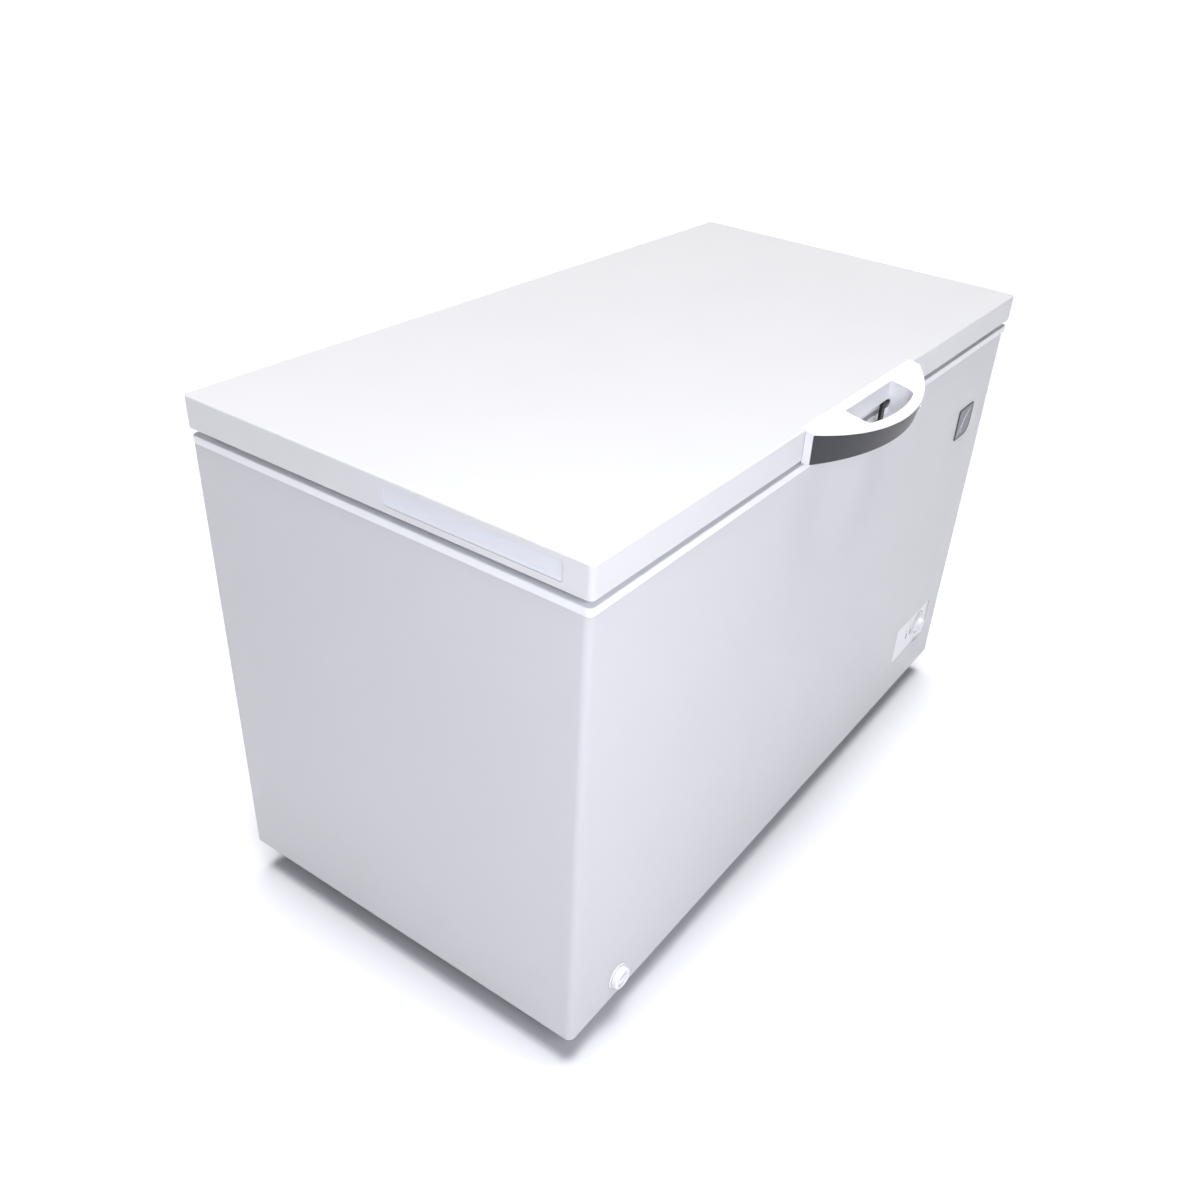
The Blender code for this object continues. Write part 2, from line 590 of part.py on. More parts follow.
def start_relay_box():
    """Terminal cover with the start relay on the side of the compressor."""
    x, y = COMPRESSOR_SPOT
    back = y - CAN_RADIUS - 0.0065
    low = (x - 0.026, back - 0.034, PLATE_Z + 0.038)
    high = (x + 0.026, back, PLATE_Z + 0.096)
    bm = box(low, high)
    round_edges(bm, bm.edges[:], 0.004, 2)
    place("start_relay_box", bm, BLACK_PLASTIC)


def compartment_pipes():
    """Discharge and suction pipes from the compressor to the compartment walls."""
    x, y = COMPRESSOR_SPOT
    z = PLATE_Z + 0.050
    reach = CAN_RADIUS + 0.0002
    right = x + reach
    end = BODY_X - SHEET - 0.006
    discharge = [(right, y - 0.005, z), (right + 0.020, y - 0.005, z), (right + 0.032, y - 0.010, z + 0.006)]
    discharge += [(right + 0.036, y - 0.030, z + 0.030), (end - 0.030, y - 0.060, z + 0.050)]
    discharge += [(end - 0.012, y - 0.080, z + 0.062), (end - 0.008, y - 0.100, z + 0.080)]
    discharge.append((end - 0.008, y - 0.102, ENGINE_TOP - CLEAR))
    tube("discharge_pipe", discharge, 0.0032, COPPER, 1)
    left = x - reach
    suction = [(left, y + 0.010, z), (left - 0.018, y + 0.010, z), (left - 0.030, y + 0.016, z + 0.010)]
    suction += [(left - 0.034, y + 0.030, z + 0.060), (left - 0.034, y + 0.034, ENGINE_TOP - CLEAR)]
    tube("suction_pipe", suction, 0.0042, COPPER, 1)


# ---- front fittings ------------------------------------------------------------------
KNOB_X = 0.5375
KNOB_Z = BODY_BOTTOM + 0.118
PANEL_RECESS = 0.003
PANEL_FACE = BODY_FRONT + PANEL_RECESS
PANEL_THICK = 0.0025


def control_panel():
    """Recessed white panel with a fixing flange behind the sheet."""
    gap = CLEAR
    face_low = (PANEL_X[0] + gap, PANEL_FACE, PANEL_Z[0] + gap)
    face_high = (PANEL_X[1] - gap, PANEL_FACE + PANEL_THICK, PANEL_Z[1] - gap)
    panel = place("control_panel", box(face_low, face_high), WHITE_PLASTIC)
    lap = 0.010
    flange_front = PANEL_FACE + 0.001
    low = (PANEL_X[0] - lap, flange_front, PANEL_Z[0] - lap)
    high = (PANEL_X[1] + lap, PANEL_FACE + PANEL_THICK + 0.002, PANEL_Z[1] + lap)
    weld(panel, place("weld_panel_flange", box(low, high)))
    back = PANEL_FACE + 0.02
    cut(panel, place("cut_panel_shaft", rod((KNOB_X, back, KNOB_Z), 0.04, 0.0050, "Y", 20)))
    for i, (x, z) in enumerate(LAMP_SPOTS):
        slot = lamp_outline(x, z, CLEAR)
        cut(panel, place(f"cut_panel_lamp_{i}", prism(slot, "Y", PANEL_FACE - 0.01, back)))


LAMP_SPOTS = [(0.484, BODY_BOTTOM + 0.112), (0.503, BODY_BOTTOM + 0.115)]
LAMP_RADIUS = 0.0026
LAMP_HALF = 0.0045


def lamp_outline(x, z, grow):
    """Upright slot with round ends."""
    radius = LAMP_RADIUS + grow
    return arc((x, z + LAMP_HALF), radius, 0, 180, 7) + arc((x, z - LAMP_HALF), radius, 180, 360, 7)


def indicator_lamps():
    """Two smoked lenses set in the panel."""
    for name, (x, z) in zip(("power_lamp", "run_lamp"), LAMP_SPOTS):
        front, back = PANEL_FACE - 0.0008, PANEL_FACE + 0.012
        place(name, prism(lamp_outline(x, z, 0.0), "Y", front, back), SMOKED_LENS)


def thermostat_body():
    """Thermostat switch behind the panel, with the shaft that carries the knob."""
    front = PANEL_FACE + PANEL_THICK + 0.002 + CLEAR
    low = (KNOB_X - 0.024, front, KNOB_Z - 0.018)
    high = (KNOB_X + 0.024, front + 0.034, KNOB_Z + 0.018)
    switch = place("thermostat_body", box(low, high), GREY_PLASTIC)
    shaft = rod((KNOB_X, front + 0.004, KNOB_Z), 0.0170, 0.0030, "Y", 16)
    weld(switch, place("weld_thermostat_shaft", shaft))


def thermostat_knob():
    """Skirted dial with a blind bore for the shaft."""
    gap = 0.0006
    skirt, rim, grip = 0.0180, 0.0020, 0.0120
    tall = 0.0125
    bore, depth = 0.0034, 0.0105
    profile = [(0.0, tall), (grip - 0.001, tall), (grip, tall - 0.001), (grip + 0.0006, rim + 0.0008)]
    profile += [(skirt - 0.0008, rim), (skirt, rim - 0.0008), (skirt, 0.0), (bore, 0.0), (bore, depth)]
    profile.append((0.0, depth))
    spot = (KNOB_X, PANEL_FACE - gap, KNOB_Z)
    turned("thermostat_knob", profile, spot, "Y", WHITE_PLASTIC, 32)


def drain_fittings():
    """Elbow tube, outside bezel, outside cap and inside stopper of the meltwater drain."""
    top = CAVITY_FLOOR - LINING - CLEAR
    pipe = rod((DRAIN_X, DRAIN_Y, DRAIN_Z), top - DRAIN_Z, DRAIN_RADIUS, "Z", 16)
    elbow = place("drain_tube", pipe, GREY_PLASTIC)
    front = BODY_FRONT + SHEET + CLEAR
    start = DRAIN_Y + DRAIN_RADIUS
    run = rod((DRAIN_X, start, DRAIN_Z), start - front, DRAIN_RADIUS, "Y", 16)
    weld(elbow, place("weld_drain_run", run))
    bore = rod((DRAIN_X, DRAIN_Y, DRAIN_Z), 0.05, DRAIN_BORE, "Z", 16)
    cut(elbow, place("cut_drain_drop", bore))
    through = rod((DRAIN_X, DRAIN_Y + 0.006, DRAIN_Z), 0.2, DRAIN_BORE, "Y", 16)
    cut(elbow, place("cut_drain_run", through))
    bezel = [(0.0195, 0.0020), (0.0205, 0.0012), (0.0205, 0.0), (0.0094, 0.0), (0.0094, 0.0020)]
    turned("drain_bezel", bezel, (DRAIN_X, BODY_FRONT - CLEAR, DRAIN_Z), "Y", WHITE_PLASTIC, 28, closed=True)
    cap = [(0.0, 0.0095), (0.0150, 0.0095), (0.0175, 0.0075), (0.0180, 0.0), (0.0086, 0.0), (0.0083, -0.014)]
    cap.append((0.0, -0.014))
    turned("drain_cap", cap, (DRAIN_X, BODY_FRONT - CLEAR - 0.0024, DRAIN_Z), "Y", WHITE_PLASTIC, 28)
    plug = [(0.0, 0.0055), (0.0040, 0.0055), (0.0055, 0.0030), (0.0155, 0.0024), (0.0155, 0.0)]
    plug += [(0.0086, 0.0), (0.0080, -0.009), (0.0, -0.009)]
    turned("drain_stopper", plug, (DRAIN_X, DRAIN_Y, CAVITY_FLOOR + CLEAR), "Z", GREY_PLASTIC, 24)


def badge_plate():
    """Small maker's plate with one large rounded corner."""
    left, right = 0.4895, 0.5580
    bottom, top = BODY_BOTTOM + 0.546, BODY_BOTTOM + 0.6056
    small, large = 0.003, 0.024
    outline = arc((left + small, top - small), small, 90, 180, 4)
    outline += arc((left + small, bottom + small), small, 180, 270, 4)
    outline += arc((right - large, bottom + large), large, 270, 360, 9)
    outline += arc((right - small, top - small), small, 0, 90, 4)
    front = BODY_FRONT - CLEAR
    place("badge_plate", prism(outline, "Y", front - 0.0016, front), CHARCOAL)


# ---- lid -----------------------------------------------------------------------------
LID_RADIUS = 0.0075
LID_EDGE = 0.003
INSERT_Y = (LID_FRONT + 0.0395, LID_FRONT + 0.3065)
INSERT_Z = (BODY_BOTTOM + 0.751, BODY_BOTTOM + 0.7765)
INSERT_RADIUS = 0.005
INSERT_RECESS = 0.0006
HANDLE_X = 0.177
HANDLE_LAP = 0.0085       # how far the handle's flange laps back into the lid top
HANDLE_FLANGE = 0.0040
PANEL_INNER_Z = LID_BOTTOM + 0.0010


def insert_outline(grow):
    """Rounded rectangle of the side insert, in Y and Z."""
    r = INSERT_RADIUS + grow
    y0, y1 = INSERT_Y[0] - grow + r, INSERT_Y[1] + grow - r
    z0, z1 = INSERT_Z[0] - grow + r, INSERT_Z[1] + grow - r
    outline = arc((y1, z1), r, 0, 90, 4) + arc((y0, z1), r, 90, 180, 4)
    return outline + arc((y0, z0), r, 180, 270, 4) + arc((y1, z0), r, 270, 360, 4)


def lid_outer_panel():
    """Pressed lid skin with a soft edge, side windows and a notch for the handle flange."""
    bm = box((-LID_X, LID_FRONT, LID_BOTTOM), (LID_X, LID_BACK, HEIGHT))
    round_edges(bm, upright_edges(bm), LID_RADIUS, 4)
    rim = [edge for edge in bm.edges if min(v.co.z for v in edge.verts) > HEIGHT - 1e-5]
    round_edges(bm, rim, LID_EDGE, 3)
    bottom = [face for face in bm.faces if face.normal.z < -0.9]
    bmesh.ops.delete(bm, geom=bottom, context="FACES_ONLY")
    skin = thicken(place("lid_outer_panel", bm, WHITE_STEEL), SHEET, -1.0)
    for side, name in ((-1, "left"), (1, "right")):
        start, end = side * (LID_X - 0.01), side * (LID_X + 0.01)
        cut(skin, place("cut_lid_window_" + name, prism(insert_outline(CLEAR), "X", start, end)))
    low = (-HANDLE_X - CLEAR, LID_FRONT - 0.01, HEIGHT - HANDLE_FLANGE - CLEAR)
    high = (HANDLE_X + CLEAR, LID_FRONT + HANDLE_LAP + CLEAR, HEIGHT + 0.01)
    cut(skin, place("cut_lid_notch", box(low, high)))


def lid_side_inserts():
    """Shallow plastic inserts in the two ends of the lid, with a flange behind the sheet."""
    for side, name in ((-1, "left"), (1, "right")):
        face = side * (LID_X - INSERT_RECESS)
        back = side * (LID_X - SHEET - CLEAR - 0.0012)
        insert = place("lid_side_insert_" + name, prism(insert_outline(0.0), "X", face, back), WHITE_PLASTIC)
        flange_face = side * (LID_X - SHEET - CLEAR)
        flange = prism(insert_outline(0.004), "X", flange_face, back)
        weld(insert, place("weld_insert_flange_" + name, flange))


def lid_foam():
    """Foam slab inside the lid."""
    side = SHEET + CLEAR
    low = (-LID_X + side, LID_FRONT + side, PANEL_INNER_Z + CLEAR)
    high = (LID_X - side, LID_BACK - side, HEIGHT - SHEET - CLEAR)
    bm = box(low, high)
    round_edges(bm, upright_edges(bm), LID_RADIUS - SHEET, 4)
    rim = [edge for edge in bm.edges if min(v.co.z for v in edge.verts) > high[2] - 1e-5]
    round_edges(bm, rim, LID_EDGE, 2)
    foam = place("lid_foam", bm, FOAM_CREAM)
    notch_low = (-HANDLE_X - 0.001, LID_FRONT - 0.01, HEIGHT - HANDLE_FLANGE - 0.001)
    notch_high = (HANDLE_X + 0.001, LID_FRONT + HANDLE_LAP + 0.001, HEIGHT + 0.01)
    cut(foam, place("cut_lid_foam_notch", box(notch_low, notch_high)))
    depth = SHEET + CLEAR + 0.0012 + CLEAR
    for end, name in ((-1, "left"), (1, "right")):
        start, stop = end * (LID_X - depth), end * (LID_X + 0.01)
        cut(foam, place("cut_lid_foam_" + name, prism(insert_outline(0.005), "X", start, stop)))


def lid_inner_panel():
    """Formed inner face of the lid: flat gasket border and a shallow dish into the chamber."""
    side = SHEET + 0.0022
    size_x = 2 * (LID_X - side)
    size_y = LID_DEPTH - 2 * side
    flat = Matrix.Translation((0, (LID_FRONT + LID_BACK) / 2, PANEL_INNER_Z))
    bm = bmesh.new()
    bmesh.ops.create_grid(bm, x_segments=1, y_segments=1, size=0.5,
                          matrix=flat @ Matrix.Diagonal((size_x, size_y, 1.0, 1.0)))
    dish = bm.faces[:]
    bmesh.ops.inset_region(bm, faces=dish, thickness=0.090, use_boundary=True)
    bmesh.ops.inset_region(bm, faces=dish, thickness=0.014, depth=-0.009)
    panel = link("lid_inner_panel", mesh_from(bm, "lid_inner_panel"), WHITE_PLASTIC)
    thicken(panel, 0.0010, -1.0)


def mesh_from(bm, name):
    """Mesh data from a bmesh whose faces already point the right way."""
    mesh = bpy.data.meshes.new(name)
    bm.to_mesh(mesh)
    bm.free()
    return mesh


def lid_gasket():
    """Soft sealing frame under the lid, resting on the collar."""
    inset = 0.016
    low = (-LID_X + inset, LID_FRONT + inset, COLLAR_TOP + CLEAR)
    high = (LID_X - inset, LID_BACK - inset, LID_BOTTOM - CLEAR)
    place("lid_gasket", ring(low, high, 0.016), GASKET_GREY)


# ---- handle and lock -----------------------------------------------------------------
HANDLE_STEP = 0.0120      # straight ends of the handle before the bow starts
HANDLE_SLOPE = tan(radians(10.4))
HANDLE_BOTTOM = BODY_BOTTOM + 0.7390
LIP = 0.0028              # thickness of the white lip above the dark band
BAND_DEPTH = 0.0030       # recess for the dark band
BAND_LEAN = 0.0075        # how far the band leans back towards its lower edge
BOW_SAG = HANDLE_REACH - HANDLE_STEP
HANDLE_WALL = 0.0030
BAND_END = LID_FRONT - HANDLE_STEP
CHEEK = 0.0145            # width of the solid cheek at each end of the handle


def bow_circle(lean):
    """Radius and centre of the bow through both handle ends, with its middle set back by the lean."""
    sag = BOW_SAG - lean
    radius = (HANDLE_X ** 2 + sag ** 2) / (2 * sag)
    return radius, LID_FRONT - HANDLE_REACH + lean + radius


def bow(inset, back, lean=0.0, count=25):
    """D-shaped handle outline in X and Y, drawn in by one amount, with a straight back."""
    outer, centre = bow_circle(lean)
    half = HANDLE_X - inset
    radius = outer - inset
    swing = asin(half / radius)
    angles = [swing - 2 * swing * i / (count - 1) for i in range(count)]
    front = [(radius * sin(a), centre - radius * cos(a)) for a in angles]
    return [(half, back)] + front + [(-half, back)]


def handle_top(y):
    """Height of the sloping handle top."""
    return HEIGHT - HANDLE_SLOPE * (LID_FRONT - y)


def level(row, z):
    """Outline at one height."""
    return [(x, y, z) for x, y in row]


def under_top(row, drop):
    """Outline at one depth below the sloping handle top."""
    return [(x, y, handle_top(y) - drop) for x, y in row]


def finger_outline(grow):
    """Finger opening: straight back, short sides and a front edge that follows the bow."""
    left, right = -0.0770 - grow, 0.0790 + grow
    back = LID_FRONT - 0.0086 + grow
    outer, centre = bow_circle(0.0)
    radius = outer - 0.0145 + grow
    count, round_right, round_left = 13, 0.012, 0.005
    first, last = asin((right - round_right) / radius), asin((left + round_left) / radius)
    angles = [first + (last - first) * i / (count - 1) for i in range(count)]
    front = [(radius * sin(a), centre - radius * cos(a)) for a in angles]
    right_side = [(right, back), (right, front[0][1] + 0.016), (right - 0.0025, front[0][1] + 0.007)]
    left_side = [(left, front[-1][1] + 0.006), (left, back)]
    return right_side + front + left_side


def handle_body():
    """White moulding: bowed top plate with lip, walls behind the band and a finger opening."""
    back = LID_FRONT - CLEAR

    edge = 0.0010
    loops = [level(bow(BAND_DEPTH, back, BAND_LEAN), HANDLE_BOTTOM)]
    loops += [under_top(bow(inset, back), drop) for inset, drop in
              ((BAND_DEPTH, LIP), (0.0, LIP), (0.0, edge), (edge, 0.0))]
    body = place("handle_body", loft(loops), WHITE_PLASTIC)
    pocket_back = back + 0.01
    inner = BAND_DEPTH + HANDLE_WALL
    low = level(bow(inner, pocket_back, BAND_LEAN), HANDLE_BOTTOM - 0.01)
    high = under_top(bow(inner, pocket_back), HANDLE_WALL)
    pocket = place("cut_handle_pocket", loft([low, high]))
    core = prism(finger_outline(HANDLE_WALL), "Z", HANDLE_BOTTOM - 0.05, HEIGHT + 0.05)
    cut(pocket, place("cut_pocket_core", core))
    rear = box((-1, back - HANDLE_WALL, HANDLE_BOTTOM - 0.05), (1, back + 0.05, HEIGHT + 0.05))
    cut(pocket, place("cut_pocket_rear", rear))
    cut(body, pocket)
    hole = prism(finger_outline(0.0), "Z", HANDLE_BOTTOM - 0.04, HEIGHT + 0.04)
    cut(body, place("cut_handle_finger", hole))
    behind_low = (-0.0762, LID_FRONT - 0.0125, HANDLE_BOTTOM - 0.03)
    behind_high = (HOOK_END + 0.0030, LID_FRONT + 0.01, CATCH_TOP + 0.0010)
    cut(body, place("cut_handle_behind", box(behind_low, behind_high)))
    barrel = rod((LOCK_X, LID_FRONT - 0.0110, LOCK_Z), 0.06, BARREL_RADIUS + CLEAR, "Y", 20)
    cut(body, place("cut_handle_barrel", barrel))
    flange_low = (-HANDLE_X + CLEAR, back - 0.002, HEIGHT - HANDLE_FLANGE)
    flange_high = (HANDLE_X - CLEAR, LID_FRONT + HANDLE_LAP, HEIGHT)
    weld(body, place("weld_handle_flange", box(flange_low, flange_high)))
    for side, name in ((-1, "left"), (1, "right")):
        ends = sorted((side * (HANDLE_X - CLEAR), side * (HANDLE_X - CHEEK)))
        cheek = box((ends[0], BAND_END + 0.0002, HANDLE_BOTTOM + CLEAR), (ends[1], back - CLEAR, HEIGHT - 0.0036))
        weld(body, place("weld_handle_cheek_" + name, cheek))


def handle_fascia():
    """Dark band bent round the front of the handle, leaning back towards its lower edge."""
    back = LID_FRONT - 0.002
    bottom = HANDLE_BOTTOM + 0.0002

    proud = 0.0004
    outer = loft([level(bow(proud, back, BAND_LEAN), bottom), under_top(bow(proud, back), LIP + CLEAR)])
    band = place("handle_fascia", outer, CHARCOAL)
    inside = BAND_DEPTH - 2 * CLEAR
    deep = back + 0.05
    low = level(bow(inside, deep, BAND_LEAN * 1.5), HANDLE_BOTTOM - 0.02)
    mid = level(bow(inside, deep, BAND_LEAN), bottom)
    high = under_top(bow(inside, deep), LIP + CLEAR)
    cap = level(bow(inside, deep), HEIGHT + 0.02)
    cut(band, place("cut_fascia_inside", loft([low, mid, high, cap])))
    rear = box((-0.2, BAND_END - CLEAR, HANDLE_BOTTOM - 0.01), (0.2, LID_FRONT + 0.01, HEIGHT + 0.01))
    cut(band, place("cut_fascia_ends", rear))
    barrel = rod((LOCK_X, LID_FRONT - 0.02, LOCK_Z), 0.05, BARREL_RADIUS + CLEAR, "Y", 20)
    cut(band, place("cut_fascia_barrel", barrel))


LOCK_X = 0.1060
LOCK_Z = BODY_BOTTOM + 0.7495
BARREL_RADIUS = 0.0075
BARREL_FRONT = LID_FRONT - 0.0490
CAM_Y = (LID_FRONT - 0.0080, LID_FRONT - 0.0045)
CAM_REACH = 0.0165
CAM_REST = 44            # degrees from straight down, away from the catch, when unlocked
CAM_NECK = 0.0035
CATCH_X = (0.0640, 0.0745)
HOOK_END = 0.0960         # the cam turns in under the end of the catch's arm
CATCH_TOP = BODY_BOTTOM + 0.7560
CATCH_Y = (LID_FRONT - 0.0085, LID_FRONT - 0.0035)


def lock():
    """Key barrel in the handle, cam behind it, and the hooked catch on the cabinet front."""
    neck_start = LID_FRONT - CAM_Y[0] + CLEAR
    neck_end = LID_FRONT - CAM_Y[1] - 0.0005
    front = LID_FRONT - BARREL_FRONT
    barrel = [(0.0, front), (BARREL_RADIUS - 0.001, front), (BARREL_RADIUS, front - 0.001)]
    barrel += [(BARREL_RADIUS, neck_start), (CAM_NECK, neck_start), (CAM_NECK, neck_end), (0.0, neck_end)]
    turned("lock_barrel", barrel, (LOCK_X, LID_FRONT, LOCK_Z), "Y", ZINC, 20)
    hub, tip = 0.0058, 0.0030
    rest = radians(CAM_REST)
    tip_centre = (LOCK_X + CAM_REACH * sin(rest), LOCK_Z - CAM_REACH * cos(rest))
    outline = arc((LOCK_X, LOCK_Z), hub, CAM_REST - 30, CAM_REST + 210, 11)
    outline += arc(tip_centre, tip, CAM_REST + 180, CAM_REST + 360, 5)
    cam = place("lock_cam", prism(outline, "Y", *CAM_Y), ZINC)
    bore = rod((LOCK_X, LID_FRONT, LOCK_Z), 0.03, CAM_NECK + CLEAR, "Y", 20)
    cut(cam, place("cut_lock_cam", bore))
    left, right = CATCH_X
    base = BODY_TOP - 0.0010
    plate_back = BODY_FRONT - CLEAR
    plate = box((left - 0.004, plate_back - 0.003, base - 0.030), (right + 0.008, plate_back, base))
    catch = place("lock_catch", plate, BLACK_PLASTIC)
    foot = box((left, CATCH_Y[0], base - 0.018), (right, plate_back - 0.001, base - 0.006))
    weld(catch, place("weld_catch_foot", foot))
    hook_bottom = CATCH_TOP - 0.0095
    hook = [(left, base - 0.010), (right, base - 0.010), (right, hook_bottom), (HOOK_END, hook_bottom)]
    hook += [(HOOK_END, hook_bottom + 0.0035), (right + 0.001, CATCH_TOP - 0.002)]
    hook += arc((left + 0.005, CATCH_TOP - 0.005), 0.005, 60, 180, 7)
    weld(catch, place("weld_catch_hook", prism(hook, "Y", *CATCH_Y)))


# ---- hinges --------------------------------------------------------------------------
PIVOT_Y = LID_BACK + 0.0125
PIVOT_Z = LID_BOTTOM + 0.0050
HINGE_X = 0.420
KNUCKLE = HINGE_REACH - 0.0125
EAR = 0.0025
PIN = 0.0040
COIL_RADIUS = 0.0074
WIRE = 0.0012


def body_bracket(name, x):
    """Folded steel bracket on the cabinet back with two ears that hold the pin."""
    front = PANEL_BACK + CLEAR
    half = 0.030
    plate = box((x - half, front, BODY_TOP - 0.105), (x + half, front + EAR, BODY_TOP - 0.0005))
    bracket = place(name, plate, ZINC)
    clear_y = PIVOT_Y - KNUCKLE
    outline = [(front, BODY_TOP - 0.085), (front + 0.008, BODY_TOP - 0.085)]
    outline += [(PIVOT_Y + KNUCKLE, BODY_TOP - 0.030)]
    outline += arc((PIVOT_Y, PIVOT_Z), KNUCKLE, 0, 180, 11)
    outline += [(clear_y, BODY_TOP - 0.0005), (front, BODY_TOP - 0.0005)]
    for side in (-1, 1):
        start = x + side * half - EAR / 2
        ear = prism(outline, "X", start, start + EAR)
        weld(bracket, place(f"weld_{name}_{side}", ear))
    cut(bracket, place("cut_" + name, rod((x - 0.05, PIVOT_Y, PIVOT_Z), 0.1, PIN + CLEAR, "X", 20)))


def lid_bracket(name, x):
    """Steel plate on the back of the lid with two ears that turn on the pin."""
    half = 0.0245
    front = LID_BACK + CLEAR
    plate = box((x - half, front, LID_BOTTOM + 0.002), (x + half, front + 0.002, HEIGHT - 0.004))
    bracket = place(name, plate, ZINC)
    radius = 0.0095
    outline = arc((PIVOT_Y, PIVOT_Z), radius, -90, 90, 9)
    outline += [(front, PIVOT_Z + radius + 0.008), (front, LID_BOTTOM + 0.002)]
    for side in (-1, 1):
        start = x + side * (half - EAR / 2) - EAR / 2
        ear = prism(outline, "X", start, start + EAR)
        weld(bracket, place(f"weld_{name}_{side}", ear))
    cut(bracket, place("cut_" + name, rod((x - 0.05, PIVOT_Y, PIVOT_Z), 0.1, PIN + CLEAR, "X", 20)))


def hinge_spring(name, x, hand):
    """Torsion spring wound round the pin, with one leg down onto the cabinet bracket."""
    turns, per_turn = 6, 9
    length = 0.036
    count = turns * per_turn
    points = []
    for i in range(count + 1):
        angle = 2 * pi * i / per_turn
        along = x + hand * (length * i / count - length / 2)
        points.append((along, PIVOT_Y - COIL_RADIUS * cos(angle), PIVOT_Z - COIL_RADIUS * sin(angle)))
    start = points[0]
    leg = [(start[0], start[1], BODY_TOP - 0.012), (start[0], start[1], PIVOT_Z - 0.003)]
    tube(name, leg + points, WIRE, ZINC, 1)


def hinge_pin(name, x):
    """Headed pin through all four ears."""
    half, head = 0.034, 0.0062
    profile = [(0.0, half + 0.003), (head, half + 0.002), (head, half), (PIN, half), (PIN, -half)]
    profile += [(head, -half), (head, -half - 0.002), (0.0, -half - 0.003)]
    turned(name, profile, (x, PIVOT_Y, PIVOT_Z), "X", ZINC, 16)


def hinges():
    """Two spring hinges."""
    for side, hand in (("left", -1), ("right", 1)):
        x = hand * HINGE_X
        body_bracket("hinge_body_bracket_" + side, x)
        lid_bracket("hinge_lid_bracket_" + side, x)
        hinge_spring("hinge_spring_" + side, x, hand)
        hinge_pin("hinge_pin_" + side, x)


# ---- basket --------------------------------------------------------------------------
BASKET_X = (-0.566, -0.336)
BASKET_DEPTH = 0.205
BASKET_WIRE = 0.0035


def wire_basket():
    """Open wire basket whose end flanges hang on the ledge of the collar."""
    rim = LEDGE_Z + CLEAR + BASKET_WIRE
    wall_front, wall_back = CAVITY_FRONT + 0.014, CAVITY_BACK - 0.014
    hook = 0.014 + LEDGE_WIDTH - 0.006
    bottom = rim - BASKET_DEPTH
    bm = bmesh.new()
    columns, rows, tiers = 3, 7, 3
    xs = [BASKET_X[0] + (BASKET_X[1] - BASKET_X[0]) * i / columns for i in range(columns + 1)]
    ys = [wall_front + (wall_back - wall_front) * i / rows for i in range(rows + 1)]
    zs = [bottom + BASKET_DEPTH * i / tiers for i in range(tiers + 1)]
    outline = [(x, ys[0]) for x in xs] + [(xs[-1], y) for y in ys[1:]]
    outline += [(x, ys[-1]) for x in xs[-2::-1]] + [(xs[0], y) for y in ys[-2:0:-1]]
    floor = {}
    for x in xs:
        for y in ys:
            floor[(x, y)] = bm.verts.new((x, y, bottom))
    for i in range(columns):
        for j in range(rows):
            corners = [(xs[i], ys[j]), (xs[i + 1], ys[j]), (xs[i + 1], ys[j + 1]), (xs[i], ys[j + 1])]
            bm.faces.new([floor[corner] for corner in corners])
    below = [floor[spot] for spot in outline]
    for z in zs[1:]:
        above = [bm.verts.new((x, y, z)) for x, y in outline]
        for i, corner in enumerate(below):
            after = (i + 1) % len(below)
            bm.faces.new((corner, below[after], above[after], above[i]))
        below = above
    for y, step in ((ys[0], -hook), (ys[-1], hook)):
        edge = sorted((v for v in below if abs(v.co.y - y) < 1e-6), key=lambda v: v.co.x)
        out = [bm.verts.new((v.co.x, v.co.y + step, v.co.z)) for v in edge]
        for i in range(len(edge) - 1):
            bm.faces.new((edge[i], edge[i + 1], out[i + 1], out[i]))
    basket = place("wire_basket", bm, WHITE_STEEL)
    wire = basket.modifiers.new("wire", "WIREFRAME")
    wire.thickness = BASKET_WIRE
    wire.use_boundary = True
    wire.use_replace = True
    wire.use_even_offset = False


# ---- casters -------------------------------------------------------------------------
CASTER_SPOTS = {"front_left": (-0.545, -0.205), "front_right": (0.545, -0.205),
                "rear_left": (-0.545, 0.255), "rear_right": (0.545, 0.255)}
WHEEL_RADIUS = 0.020
WHEEL_WIDTH = 0.016
TRAIL = 0.014
AXLE = 0.0035
RACE_BOTTOM = 0.0500
CROWN_BOTTOM = 0.0455


def caster_plate(name, x, y):
    """Top plate with the ball race housing and the king pin hole."""
    top = BODY_BOTTOM - CLEAR
    plate = place(name, box((x - 0.024, y - 0.024, top - 0.0022), (x + 0.024, y + 0.024, top)), ZINC)
    race = rod((x, y, RACE_BOTTOM), top - 0.001 - RACE_BOTTOM, 0.0150, "Z", 20)
    weld(plate, place("weld_" + name, race))
    bore = rod((x, y, RACE_BOTTOM - 0.01), 0.03, 0.0053, "Z", 16)
    cut(plate, place("cut_" + name, bore))


